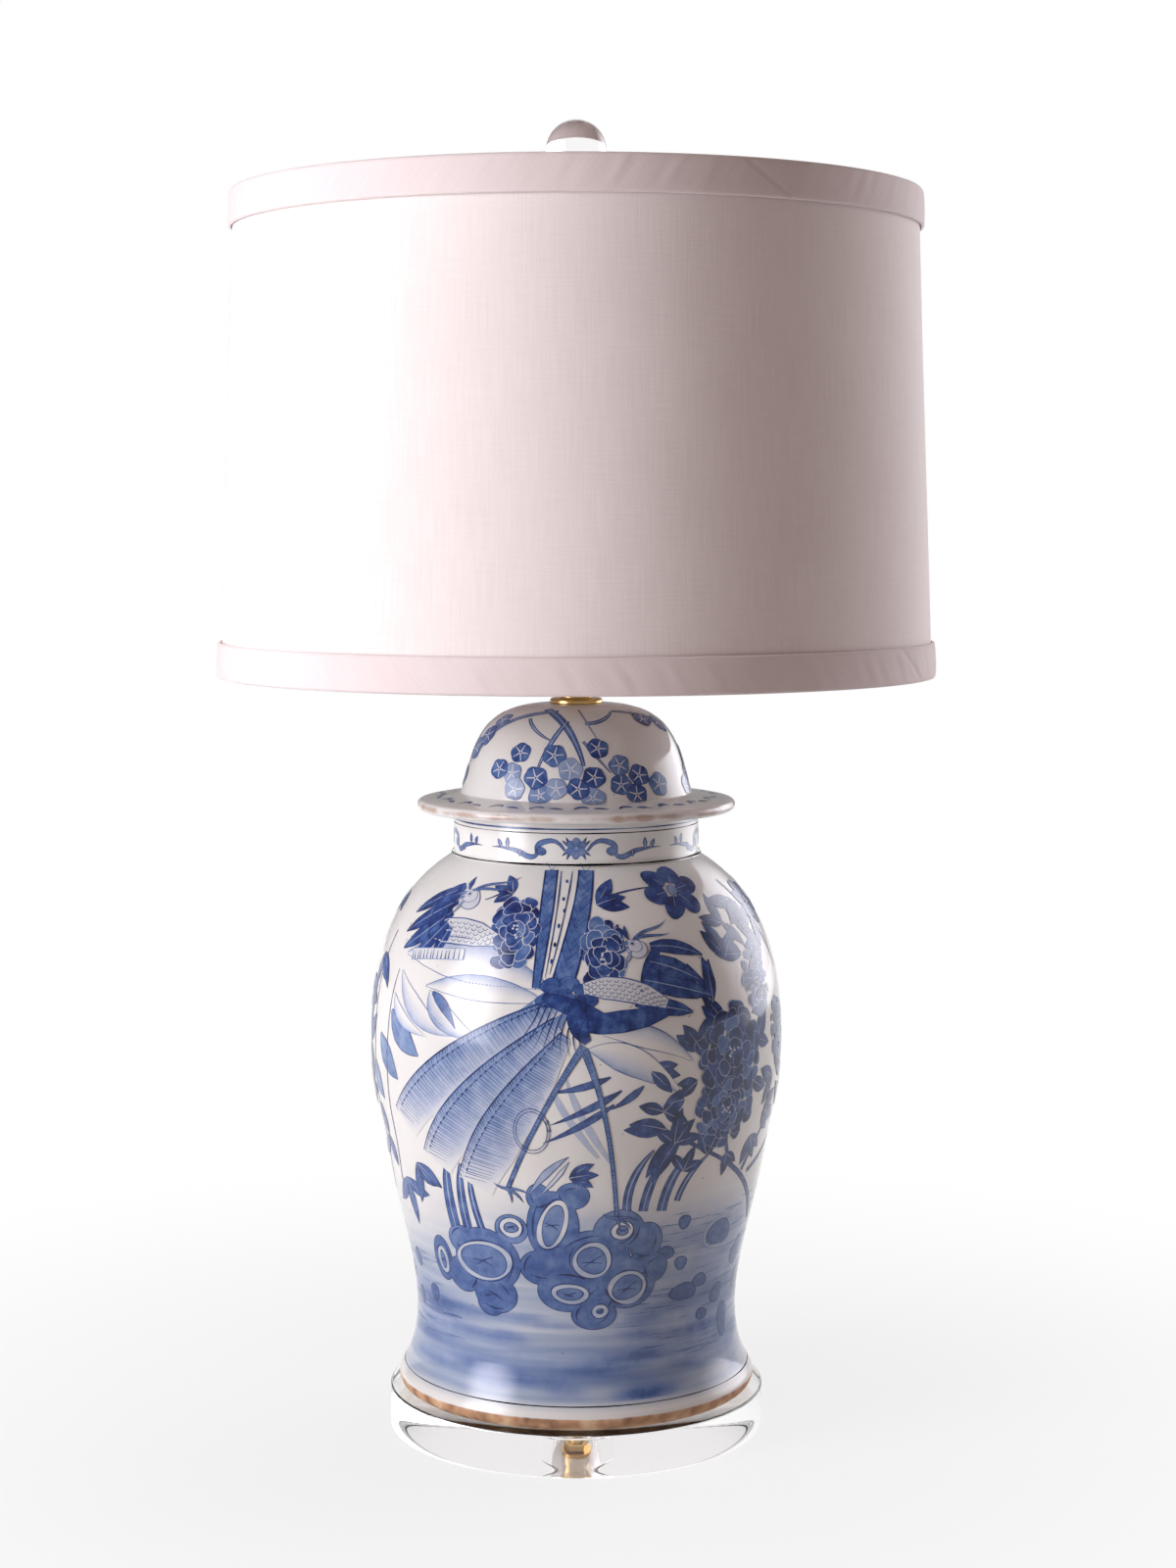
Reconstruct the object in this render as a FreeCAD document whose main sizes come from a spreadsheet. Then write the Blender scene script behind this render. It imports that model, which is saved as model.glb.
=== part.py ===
import FreeCAD, Part
import math
import os
import re

import Sketcher

# A porcelain ginger jar made up as a table lamp. The jar and its lid are clamped between a clear acrylic
# disc below and a brass cap above by one threaded pipe, which goes on up to carry the harp's saddle and
# the lamp socket. The harp lifts off the saddle once its ferrules are raised, the drum shade turns on the
# harp's stud, and a ball finial holds it down.
# Millimetres. The origin is the centre of the disc's underside, +Z is up and the lamp's front faces -Y.

SIZES = (
    # Acrylic base
    ("base_diameter", 228.6, "clear disc, across"),
    ("base_thickness", 25.4, "clear disc, height"),
    ("base_edge_round", 1.2, "radius on the disc's outer edges"),
    ("well_diameter", 31, "counterbore under the disc that holds the nut"),
    ("well_depth", 12.7, "depth of that counterbore"),
    # Clamping pipe and its hardware
    ("pipe_diameter", 10.2, "threaded lamp pipe, outside"),
    ("pipe_wall", 1.4, "wall of the pipe"),
    ("pipe_below_nut", 2, "pipe that stands out below its nut"),
    ("pipe_eye", 6, "hole in the pipe's side, level with the cord outlet"),
    ("pipe_hole_gap", 1, "all round the pipe where it passes through a drilled hole"),
    ("thread_gap", 0.06, "all round the pipe where a threaded or close piece holds it"),
    ("washer_diameter", 19, "brass washer in the counterbore"),
    ("washer_thickness", 1.2, "that washer"),
    ("nut_across_flats", 14.3, "brass pipe nut"),
    ("nut_thickness", 4, "that nut"),
    ("nut_chamfer", 0.6, "bevel round the nut's bore"),
    # Jar: foot, wall and neck. The pulls are the control points of the jar's outline
    ("jar_height", 353.4, "foot to neck rim"),
    ("jar_wall", 6, "porcelain wall"),
    ("jar_floor", 8, "thickness of the jar's floor"),
    ("foot_diameter", 217.6, "across the foot ring"),
    ("foot_ring_width", 13, "foot ring, in plan"),
    ("foot_round", 7, "radius of the foot ring's outside"),
    ("foot_lean", 32, "degrees from upright where the outline leaves the foot ring"),
    ("foot_recess", 8, "hollow under the jar's floor"),
    ("waist_pull_diameter", 178.4, "outline's control point at the waist"),
    ("waist_pull_height", 39.8, "its height over the foot"),
    ("flank_pull_diameter", 227, "control point on the lower flank"),
    ("flank_pull_height", 125.9, "its height over the foot"),
    ("rise_pull_diameter", 234, "control point where the flank turns to the belly"),
    ("rise_pull_height", 162.3, "its height over the foot"),
    ("belly_pull_diameter", 259.2, "control point at the belly"),
    ("belly_pull_height", 199.5, "its height over the foot"),
    ("shoulder_pull_diameter", 240.4, "control point at the shoulder"),
    ("shoulder_pull_height", 299, "its height over the foot"),
    ("shoulder_height", 325.6, "where the shoulder meets the neck, over the foot"),
    ("neck_diameter", 148, "jar's neck, outside"),
    ("neck_wall", 7, "jar's neck, wall"),
    ("neck_root", 2.4, "throat between shoulder and neck, each way"),
    ("neck_root_radius", 3.4, "radius in that throat"),
    # Cord outlet at the back of the waist
    ("outlet_height", 44.6, "over the jar's foot"),
    ("outlet_diameter", 12.7, "hole drilled in the wall"),
    ("grommet_bore", 7.4, "hole through the grommet"),
    ("grommet_flange", 17, "grommet's flange, across"),
    ("grommet_lip", 2, "flange thickness"),
    ("grommet_fit", 0.15, "all round the grommet in its hole"),
    ("grommet_seat", 0.1, "flange to the wall where the curved wall comes nearest"),
    ("grommet_tail", 2.5, "sleeve inside the wall"),
    # Lid
    ("lid_height", 64.2, "flange underside to the flat top"),
    ("lid_wall", 6, "porcelain wall"),
    ("flange_diameter", 192.6, "lid's flange, across"),
    ("flange_edge", 6.5, "flange thickness at its rim"),
    ("flange_round", 2.8, "radius on the flange's rim"),
    ("dome_diameter", 140.2, "dome, where it leaves the flange"),
    ("dome_foot", 10.6, "height there, over the flange's underside"),
    ("dome_side_diameter", 127.4, "control point up the dome's side"),
    ("dome_side_height", 31.5, "its height"),
    ("dome_bend_diameter", 128.6, "control point where the dome turns over"),
    ("dome_bend_height", 35.5, "its height"),
    ("dome_top_diameter", 94.4, "control point on the dome's crown"),
    ("crown_diameter", 32, "flat on top of the lid"),
    ("collar_gap", 2.2, "between the lid's collar and the jar's neck"),
    ("collar_wall", 5, "lid's collar"),
    ("collar_depth", 14, "how far the collar reaches into the neck"),
    # Brass cap and neck
    ("cap_diameter", 31.7, "brass cap on the lid"),
    ("cap_thickness", 3, "its flange"),
    ("cap_bevel", 0.8, "bevel on its flange"),
    ("cap_hub_diameter", 20, "its hub"),
    ("cap_hub_height", 3, "its hub, over the flange"),
    ("spool_diameter", 19, "turned brass neck, at its ends"),
    ("spool_waist", 14.6, "the same, between the ends"),
    ("spool_end", 3, "height of each end"),
    ("spool_cove", 3, "height of the slope from end to waist"),
    ("spool_height", 30, "turned brass neck"),
    # Harp saddle and harp
    ("saddle_thickness", 2, "steel strip"),
    ("saddle_width", 12.7, "strip"),
    ("saddle_span", 62, "between the centres of the two posts"),
    ("saddle_bend", 5, "outer radius of the strip's bends"),
    ("saddle_rise", 12, "strip's underside to the top of its arms"),
    ("post_diameter", 5, "post on each arm, and the harp's foot that meets it"),
    ("post_root", 3, "stretch of the post that is welded into the arm"),
    ("post_round", 2.5, "post below the lap"),
    ("lap_length", 8, "half-round lap of post and harp foot"),
    ("lap_gap", 0.2, "between the laps' flats"),
    ("lap_clearance", 0.3, "post's end below the foot's full round"),
    ("foot_collar", 2, "full round of the harp's foot over the lap"),
    ("ferrule_diameter", 9.5, "brass sleeve that locks the lap"),
    ("ferrule_length", 13.5, "that sleeve"),
    ("ferrule_gap", 0.1, "all round the post in the sleeve"),
    ("ferrule_edge", 0.5, "bevel on the sleeve"),
    ("wire_diameter", 3.2, "harp wire"),
    ("harp_height", 254, "saddle's underside to the shade's seat"),
    ("harp_width", 117, "over the bow's outer sides"),
    ("harp_leg", 32, "straight leg over the arms' tops"),
    ("harp_flare", 95, "radius where a leg turns outward"),
    ("harp_crown", 47, "radius of the bow's upper corners"),
    ("plate_length", 26, "flattened crown of the bow"),
    ("plate_width", 12, "the same, across"),
    ("plate_thickness", 2.6, "the same"),
    ("seat_diameter", 12.7, "seat of the stud, under the shade's washer"),
    ("seat_thickness", 3, "that seat"),
    ("stud_diameter", 6.35, "threaded stud"),
    ("stud_height", 11.5, "stud over its seat"),
    ("rivet_diameter", 4, "stud's shank through the crown plate"),
    ("rivet_gap", 0.05, "all round the shank"),
    ("rivet_head", 7, "head under the plate, across"),
    ("rivet_head_height", 1.2, "that head"),
    # Socket
    ("socket_cap_height", 20, "brass cap of the socket"),
    ("socket_cap_diameter", 34.4, "its rim"),
    ("socket_hub_diameter", 15, "its threaded hub"),
    ("socket_hub_height", 9, "its threaded hub"),
    ("socket_bowl", 12, "radius of its bowl"),
    ("sheet_metal", 0.9, "brass of the cap and the shell"),
    ("nesting_gap", 0.1, "between nested round pieces of the socket"),
    ("shell_overlap", 5, "shell inside the cap's rim"),
    ("shell_height", 43, "brass shell"),
    ("shell_bead", 0.7, "rolled bead on the shell's rim"),
    ("shell_bead_height", 2, "the same, along the shell"),
    ("liner_thickness", 0.8, "fibre liner"),
    ("liner_short", 1.5, "liner ends this far below the shell's rim"),
    ("switch_height", 19, "moulded switch body"),
    ("thread_shell_wall", 0.6, "aluminium screw shell"),
    ("thread_shell_height", 20, "aluminium screw shell"),
    ("thread_shell_eye", 12, "hole in its floor"),
    ("contact_length", 9, "spring contact"),
    ("contact_width", 5, "spring contact"),
    ("contact_thickness", 1.4, "spring contact"),
    ("set_screw_diameter", 3, "set screw in the cap's hub"),
    ("set_screw_height", 4, "its height on the hub"),
    ("set_screw_proud", 0.6, "its head, proud of the hub"),
    ("shaft_diameter", 3.4, "switch shaft"),
    ("shaft_gap", 0.08, "all round the shaft in the switch body"),
    ("shaft_hole_gap", 0.8, "all round the shaft in the shell and liner"),
    ("shaft_height", 9.5, "shaft over the switch body's foot"),
    ("shaft_depth", 7, "how far the shaft reaches in from the switch body's side"),
    ("shaft_reach", 5, "bare shaft between the shell and the knob"),
    ("knob_diameter", 13, "turn knob"),
    ("knob_length", 15, "turn knob"),
    ("knob_socket", 9, "depth of the shaft's hole in the knob"),
    ("knob_fit", 0.05, "all round the shaft in the knob"),
    ("knob_flutes", 12, "grooves round the knob"),
    ("flute_diameter", 1.8, "each groove"),
    ("knob_round", 1.2, "radius on the knob's end"),
    # Bulb
    ("bulb_diameter", 60, "glass globe"),
    ("bulb_length", 107, "contact tip to the top of the glass"),
    ("bulb_glass", 1, "glass wall"),
    ("bulb_neck_diameter", 24, "glass where it enters the screw cap"),
    ("bulb_neck_depth", 4, "glass inside the screw cap"),
    ("bulb_neck_height", 2, "straight neck over the screw cap"),
    ("bulb_neck_pull", 16, "how far up the neck's line is held"),
    ("bulb_globe_pull", 25, "how far down the globe's side is held"),
    ("bulb_cap_diameter", 26, "screw cap"),
    ("bulb_cap_length", 23.5, "screw cap"),
    ("bulb_cap_wall", 0.8, "screw cap"),
    ("bulb_tip_diameter", 9.5, "solder contact"),
    ("bulb_tip_height", 2.6, "solder contact"),
    ("bulb_cap_cone", 4, "height of the cone under the screw cap"),
    ("bulb_seat_gap", 0.3, "contact tip over the socket's spring contact"),
    ("bulb_thread_gap", 0.35, "all round the screw cap"),
    # Shade
    ("shade_height", 285, "over both trims"),
    ("shade_top_diameter", 405.8, "drum, outside, at its top edge"),
    ("shade_bottom_diameter", 426.8, "drum, outside, at its bottom edge"),
    ("shade_wall", 1.2, "backed cloth"),
    ("ring_wire", 3.2, "wire of both shade rings"),
    ("ring_gap", 0.2, "between a ring and the drum's inside"),
    ("trim_height", 21.3, "bias trim on each edge"),
    ("trim_proud", 2.5, "trim, over the drum's outside"),
    ("trim_round", 1.6, "radius on the trim's outer edges"),
    ("trim_fold", 0.6, "radius where the trim turns in"),
    ("trim_cloth", 1.3, "turned-in cloth of the trim"),
    ("trim_turn_in", 11, "trim down the inside"),
    ("trim_gap", 0.15, "between the trim and what it covers"),
    ("trim_notch", 7, "notch in the top trim round each spider arm"),
    ("spider_washer", 25.4, "spider's washer, across"),
    ("spider_thickness", 2, "spider's washer"),
    ("spider_hole_gap", 0.45, "all round the stud in the washer"),
    ("spider_wire", 3.2, "spider arm"),
    ("spider_arms", 3, "arms"),
    ("spider_rise_run", 17, "in plan, the length over which an arm climbs to the ring"),
    ("spider_bend", 12, "radius of an arm's bend"),
    ("spider_drop", 10, "washer's top below the shade's rim"),
    ("spider_root", 3, "arm's end into the washer"),
    ("weld_depth", 0.8, "arm's end into the ring"),
    # Finial
    ("ball_diameter", 36, "clear ball"),
    ("ball_flat", 0.7, "depth of the flat under the ball"),
    ("finial_height", 19, "brass base, to the ball's flat"),
    ("finial_foot_diameter", 14, "brass base, at the washer"),
    ("finial_foot_height", 4, "that foot"),
    ("finial_waist_diameter", 9.4, "brass base, narrowest"),
    ("finial_dish_diameter", 13, "brass base, under the ball"),
    ("finial_dish_height", 2.5, "that dish"),
    ("finial_stem_diameter", 4.6, "stem up into the ball"),
    ("finial_cove", 6, "radius of the coves over and under the waist"),
    ("finial_cove_height", 4, "height of each cove"),
    ("finial_stem_height", 12, "that stem"),
    ("finial_stem_gap", 0.1, "all round the stem in the ball"),
    ("finial_thread_depth", 11, "threaded hole for the stud"),
    ("finial_thread_gap", 0.08, "all round the stud in that hole"),
)

doc = FreeCAD.newDocument("GingerJarLamp")
sheet = doc.addObject("Spreadsheet::Sheet", "Sizes")
for row, (name, size, note) in enumerate(SIZES, 1):
    sheet.set(f"A{row}", name)
    sheet.set(f"B{row}", str(size))
    sheet.setAlias(f"B{row}", name)
    sheet.set(f"C{row}", note)
doc.recompute()
NAMES = {name for name, size, note in SIZES}
ROUND_ABOUT = 360
NUT_SIDES = 6

# Heights over the table, each built on the piece below it
JAR_FOOT = "base_thickness"
LID_SEAT = f"({JAR_FOOT} + jar_height)"
CAP_SEAT = f"({LID_SEAT} + lid_height)"
SPOOL_SEAT = f"({CAP_SEAT} + cap_thickness + cap_hub_height)"
SADDLE_SEAT = f"({SPOOL_SEAT} + spool_height)"
ARM_TOP = f"({SADDLE_SEAT} + saddle_rise)"
SOCKET_SEAT = f"({SADDLE_SEAT} + saddle_thickness)"
SHELL_FOOT = f"({SOCKET_SEAT} + socket_cap_height - shell_overlap)"
SWITCH_TOP = f"({SHELL_FOOT} + switch_height)"
SHAFT_LEVEL = f"({SHELL_FOOT} + shaft_height)"
BULB_TIP = f"({SWITCH_TOP} + contact_thickness + bulb_seat_gap)"
SHADE_SEAT = f"({SADDLE_SEAT} + harp_height)"
SHADE_RIM = f"({SHADE_SEAT} + spider_thickness + spider_drop)"
FINIAL_SEAT = f"({SHADE_SEAT} + spider_thickness)"
BALL_SEAT = f"({FINIAL_SEAT} + finial_height)"
NUT_FOOT = "(well_depth - washer_thickness - nut_thickness)"
PIPE_FOOT = f"({NUT_FOOT} - pipe_below_nut)"

# Radii that more than one piece uses
CLOSE_BORE = "(pipe_diameter / 2 + thread_gap)"
DRILLED_BORE = "(pipe_diameter / 2 + pipe_hole_gap)"
SHELL_RADIUS = "(socket_cap_diameter / 2 - sheet_metal - nesting_gap)"
LINER_RADIUS = f"({SHELL_RADIUS} - sheet_metal - nesting_gap)"
SWITCH_RADIUS = f"({LINER_RADIUS} - liner_thickness - nesting_gap)"
POST_PLACE = "saddle_span / 2"
SHADE_SLOPE = "((shade_bottom_diameter - shade_top_diameter) / 2 / shade_height)"
EDGE_DROP = "(trim_cloth + trim_gap)"
RING_DROP = f"({EDGE_DROP} + ring_wire / 2)"
RING_INSET = "(shade_wall + ring_gap + ring_wire / 2)"
TOP_RING_RADIUS = f"(shade_top_diameter / 2 + {RING_DROP} * {SHADE_SLOPE} - {RING_INSET})"
BOTTOM_RING_RADIUS = f"(shade_bottom_diameter / 2 - {RING_DROP} * {SHADE_SLOPE} - {RING_INSET})"
TURN_IN = "(ring_wire / 2 + trim_gap)"

LINE = ("line",)
parts = []


def bound(formula):
    """The formula as an expression, with each size's name led by its sheet."""
    return re.sub(r"[a-z_]+", lambda word: f"Sizes.{word[0]}" if word[0] in NAMES else word[0], str(formula))


def number(formula):
    """The value of a formula of sizes, in millimetres."""
    return float(sheet.evalExpression(bound(formula)))


def tie(thing, **formulas):
    """Binds properties of a document object to formulas; Placement__Base__z stands for Placement.Base.z."""
    for name, formula in formulas.items():
        thing.setExpression(name.replace("__", "."), bound(formula))


def arc(radius, side=1):
    """A link that bends round a centre on its left (side 1) or on its right (side -1)."""
    return ("arc", radius, side)


def spline(*pulls):
    """A link that is drawn towards each pull without touching it."""
    return ("spline", *pulls)


def new_body(label, level="0"):
    """An empty body that becomes one piece of the lamp, standing at a height over the table."""
    body = doc.addObject("PartDesign::Body", label)
    body.Label = label
    tie(body, Placement__Base__z=level)
    parts.append(body)
    return body


def origin_item(body, role):
    """One of the body's own origin planes or axes."""
    return next(item for item in body.Origin.OriginFeatures if item.Role == role)


def new_sketch(body, role, plane="XZ_Plane", offset="0"):
    """A sketch on one of the body's own origin planes, moved along the plane's normal by the offset."""
    sketch = body.newObject("Sketcher::SketchObject", f"{body.Name}_{role}")
    sketch.AttachmentSupport = [(origin_item(body, plane), "")]
    sketch.MapMode = "FlatFace"
    tie(sketch, AttachmentOffset__Base__z=offset)
    return sketch


def constrain(sketch, formula, kind, *where):
    """Adds one dimension that follows its formula."""
    index = sketch.addConstraint(Sketcher.Constraint(kind, *where, number(formula)))
    if bound(formula) != formula:
        sketch.setExpression(f"Constraints[{index}]", bound(formula))


def pin(sketch, geometry, point, place):
    """Holds one point of the geometry at a place given as two formulas."""
    across, up = place
    constrain(sketch, across, "DistanceX", geometry, point)
    constrain(sketch, up, "DistanceY", geometry, point)


def point_at(place):
    """The place given as two formulas, as a point of a sketch."""
    return FreeCAD.Vector(number(place[0]), number(place[1]), 0)


def add_arc(sketch, start, end, radius, side):
    """Adds the shorter arc from start to end and returns its index with its own first and last points."""
    chord = end - start
    left = FreeCAD.Vector(-chord.y, chord.x, 0).normalize()
    height = math.sqrt(max(number(radius) ** 2 - (chord.Length / 2) ** 2, 0))
    centre = (start + end) / 2 + left * height * side
    first, last = (start, end) if side > 0 else (end, start)
    angles = [math.atan2(place.y - centre.y, place.x - centre.x) for place in (first, last)]
    whole = Part.Circle(centre, FreeCAD.Vector(0, 0, 1), number(radius))
    index = sketch.addGeometry(Part.ArcOfCircle(whole, *angles), False)
    constrain(sketch, radius, "Radius", index)
    return (index, 1, 2) if side > 0 else (index, 2, 1)


def add_spline(sketch, places):
    """Adds a cubic spline with a control point at each place and pins every one of them."""
    degree = 3
    spans = len(places) - degree
    repeats = [degree + 1] + [1] * (spans - 1) + [degree + 1]
    curve = Part.BSplineCurve()
    curve.buildFromPolesMultsKnots([point_at(place) for place in places], repeats, list(range(spans + 1)),
                                   False, degree)
    index = sketch.addGeometry(curve, False)
    sketch.exposeInternalGeometry(index)
    for pole, place in enumerate(places, index + 1):
        pin(sketch, pole, 3, place)
    return index, 1, 2


def draw(sketch, *path, closed=True):
    """Draws through corners, each a pair of formulas, with a straight line or the link given between them."""
    corners, links = [], []
    for item in path:
        if item[0] in ("arc", "spline"):
            links[-1] = item
        else:
            corners.append(item)
            links.append(LINE)
    spans, pinned = [], set()
    for place in range(len(corners) - (not closed)):
        after = (place + 1) % len(corners)
        start, end = point_at(corners[place]), point_at(corners[after])
        kind, *details = links[place]
        if kind == "spline":
            spans.append(add_spline(sketch, [corners[place], *details, corners[after]]))
            pinned |= {place, after}
        elif kind == "arc":
            spans.append(add_arc(sketch, start, end, *details))
        else:
            spans.append((sketch.addGeometry(Part.LineSegment(start, end), False), 1, 2))
    for place, (index, first, last) in enumerate(spans):
        if place not in pinned:
            pin(sketch, index, first, corners[place])
        if closed or place + 1 < len(spans):
            beside, beside_first, beside_last = spans[(place + 1) % len(spans)]
            sketch.addConstraint(Sketcher.Constraint("Coincident", index, last, beside, beside_first))
        elif place + 1 not in pinned:
            pin(sketch, index, last, corners[-1])
    return sketch


def circle(sketch, place, diameter):
    """Adds a circle whose centre and diameter follow their formulas."""
    ring = Part.Circle(point_at(place), FreeCAD.Vector(0, 0, 1), number(diameter) / 2)
    index = sketch.addGeometry(ring, False)
    pin(sketch, index, 3, place)
    constrain(sketch, diameter, "Diameter", index)
    return sketch


def box_corners(left, right, low, high):
    """The four corners of an upright rectangle."""
    return (left, low), (right, low), (right, high), (left, high)


def turned(body, *path):
    """Revolves a closed half section round the body's own upright axis."""
    sketch = draw(new_sketch(body, "Section"), *path)
    feature = body.newObject("PartDesign::Revolution", f"{body.Name}_Turned")
    feature.Profile = sketch
    feature.ReferenceAxis = (sketch, ["V_Axis"])
    feature.Angle = ROUND_ABOUT
    return feature


def extruded(body, kind, sketch, length, both_ways=False, backwards=False):
    """Pads or pockets a sketch. A pad follows its plane's normal and a pocket goes against it."""
    feature = body.newObject(f"PartDesign::{kind}", f"{sketch.Name}_{kind}")
    feature.Profile = sketch
    feature.SideType = "Symmetric" if both_ways else "One side"
    feature.Reversed = backwards
    tie(feature, Length=length)
    return feature


def swept(body, path, role, plane, place, offset, diameter):
    """Sweeps a round wire along an open path that starts at the place on the offset plane."""
    end = circle(new_sketch(body, role, plane, offset), place, diameter)
    feature = body.newObject("PartDesign::AdditivePipe", f"{body.Name}_Wire")
    feature.Profile = end
    feature.Spine = path
    return feature


def patterned(body, feature, count):
    """Repeats a feature evenly round the body's own Z axis."""
    pattern = body.newObject("PartDesign::PolarPattern", f"{feature.Name}_Round")
    pattern.Originals = [feature]
    pattern.Axis = (origin_item(body, "Z_Axis"), [""])
    pattern.Angle = ROUND_ABOUT
    tie(pattern, Occurrences=count)
    body.Tip = pattern
    return pattern


def eased(body, kind, feature, size, test):
    """Fillets or chamfers those edges of the feature whose bounds pass the test."""
    doc.recompute()
    names = [f"Edge{place}" for place, edge in enumerate(feature.Shape.Edges, 1) if test(edge.BoundBox)]
    ease = body.newObject(f"PartDesign::{kind}", f"{feature.Name}_{kind}")
    ease.Base = (feature, names)
    tie(ease, **{"Radius" if kind == "Fillet" else "Size": size})
    return ease


def primitive(kind, label, **formulas):
    """A Part primitive that is a whole piece by itself."""
    thing = doc.addObject(f"Part::{kind}", label)
    thing.Label = label
    tie(thing, **formulas)
    parts.append(thing)
    return thing


def make_base():
    """Clear disc, bored for the pipe and counterbored below for its nut."""
    body = new_body("acrylic_base")
    well, rim = "well_diameter / 2", "base_diameter / 2"
    disc = turned(body, (DRILLED_BORE, "well_depth"), (well, "well_depth"), (well, "0"), (rim, "0"),
                  (rim, "base_thickness"), (DRILLED_BORE, "base_thickness"))
    inside_rim = number(f"{rim} - base_edge_round")
    flat = number("base_thickness / 2")
    eased(body, "Fillet", disc, "base_edge_round", lambda box: box.XMax > inside_rim and box.ZLength < flat)


def make_pipe():
    """Threaded pipe from below its nut to inside the socket's hub, with its washer and nut."""
    pipe = new_body("lamp_pipe", PIPE_FOOT)
    turned(pipe, *box_corners("pipe_diameter / 2 - pipe_wall", "pipe_diameter / 2", "0",
                              f"{SOCKET_SEAT} + socket_hub_height - {PIPE_FOOT}"))
    eye = circle(new_sketch(pipe, "Eye"), ("0", f"{JAR_FOOT} + outlet_height - {PIPE_FOOT}"), "pipe_eye")
    extruded(pipe, "Pocket", eye, "pipe_diameter")
    turned(new_body("base_washer", "well_depth - washer_thickness"),
           *box_corners(CLOSE_BORE, "washer_diameter / 2", "0", "washer_thickness"))
    body = new_body("base_nut", NUT_FOOT)
    corner = f"nut_across_flats / 2 / cos({ROUND_ABOUT / NUT_SIDES / 2} deg)"
    hexagon = [(f"{corner} * cos({turn} deg)", f"{corner} * sin({turn} deg)")
               for turn in range(0, ROUND_ABOUT, ROUND_ABOUT // NUT_SIDES)]
    extruded(body, "Pad", draw(new_sketch(body, "Hexagon", "XY_Plane"), *hexagon), "nut_thickness")
    bore = circle(new_sketch(body, "Bore", "XY_Plane"), ("0", "0"), f"2 * {CLOSE_BORE}")
    drilled = extruded(body, "Pocket", bore, "nut_thickness", backwards=True)
    inside_flats = number("nut_across_flats / 2 - nut_chamfer")
    flat = number("nut_thickness / 2")
    eased(body, "Chamfer", drilled, "nut_chamfer", lambda box: box.XMax < inside_flats and box.ZLength < flat)


def make_jar():
    """Jar: foot ring, waist, belly, shoulder and neck, hollow, with a drilled floor and a cord outlet."""
    body = new_body("jar_body", JAR_FOOT)
    pulls = ("waist", "flank", "rise", "belly", "shoulder")
    outer = [(f"{name}_pull_diameter / 2", f"{name}_pull_height") for name in pulls]
    inner = [(f"{across} - jar_wall", up) for across, up in reversed(outer)]
    foot, neck, floor = "foot_diameter / 2", "neck_diameter / 2", "foot_recess + jar_floor"
    turned(body, (f"{foot} - foot_ring_width", "0"), (f"{foot} - foot_round", "0"), arc("foot_round"),
           (f"{foot} - foot_round * (1 - cos(foot_lean * 1 deg))",
            "foot_round * (1 + sin(foot_lean * 1 deg))"),
           spline(*outer), (f"{neck} + neck_root", "shoulder_height"), arc("neck_root_radius", -1),
           (neck, "shoulder_height + neck_root"), (neck, "jar_height"), (f"{neck} - neck_wall", "jar_height"),
           (f"{neck} - neck_wall", "shoulder_height - jar_wall / 2"), spline(*inner),
           (f"{foot} - foot_ring_width", floor), (DRILLED_BORE, floor), (DRILLED_BORE, "foot_recess"),
           (f"{foot} - foot_ring_width", "foot_recess"))
    outlet = circle(new_sketch(body, "Outlet"), ("0", "outlet_height"), "outlet_diameter")
    extruded(body, "Pocket", outlet, "foot_diameter")
    return body


def make_grommet(jar):
    """Soft bush in the jar's outlet, its axis along +Y, its flange clear of the wall that it covers."""
    body = new_body("cord_grommet", f"{JAR_FOOT} + outlet_height")
    doc.recompute()
    level = number(f"{JAR_FOOT} + outlet_height")
    front, backward = FreeCAD.Vector(0, -number("foot_diameter"), level), FreeCAD.Vector(0, 1, 0)
    footprint = Part.makeCylinder(number("grommet_flange / 2"), number("foot_diameter"), front, backward)
    covered = jar.Shape.common(footprint).optimalBoundingBox()
    body.Placement = FreeCAD.Placement(FreeCAD.Vector(0, number("grommet_seat") - covered.YMin, level),
                                       FreeCAD.Rotation(FreeCAD.Vector(1, 0, 0), -90))
    bore, sleeve, flange = "grommet_bore / 2", "outlet_diameter / 2 - grommet_fit", "grommet_flange / 2"
    tail = "0 - grommet_seat - jar_wall - grommet_tail"
    turned(body, (bore, tail), (sleeve, tail), (sleeve, "0"), (flange, "0"), (flange, "grommet_lip / 2"),
           arc("grommet_lip / 2"), (f"{flange} - grommet_lip / 2", "grommet_lip"), (bore, "grommet_lip"))


def make_lid():
    """Lid: wide flange, high dome with a flat drilled top, and a collar inside the jar's neck."""
    body = new_body("jar_lid", LID_SEAT)
    rim, collar = "flange_diameter / 2", "(neck_diameter / 2 - neck_wall - collar_gap)"
    turned(body, (collar, "0"), (f"{rim} - flange_round", "0"), arc("flange_round"), (rim, "flange_round"),
           (rim, "flange_edge - flange_round"), arc("flange_round"), (f"{rim} - flange_round", "flange_edge"),
           ("dome_diameter / 2", "dome_foot"),
           spline(("dome_side_diameter / 2", "dome_side_height"),
                  ("dome_bend_diameter / 2", "dome_bend_height"), ("dome_top_diameter / 2", "lid_height")),
           ("crown_diameter / 2", "lid_height"), (DRILLED_BORE, "lid_height"),
           (DRILLED_BORE, "lid_height - lid_wall"), ("crown_diameter / 2", "lid_height - lid_wall"),
           spline(("dome_top_diameter / 2 - lid_wall", "lid_height - lid_wall"),
                  ("dome_bend_diameter / 2 - lid_wall", "dome_bend_height - lid_wall / 2"),
                  ("dome_side_diameter / 2 - lid_wall", "dome_side_height - lid_wall / 2")),
           (f"{collar} - collar_wall", "dome_foot"), (f"{collar} - collar_wall", "0 - collar_depth"),
           (collar, "0 - collar_depth"))


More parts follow.
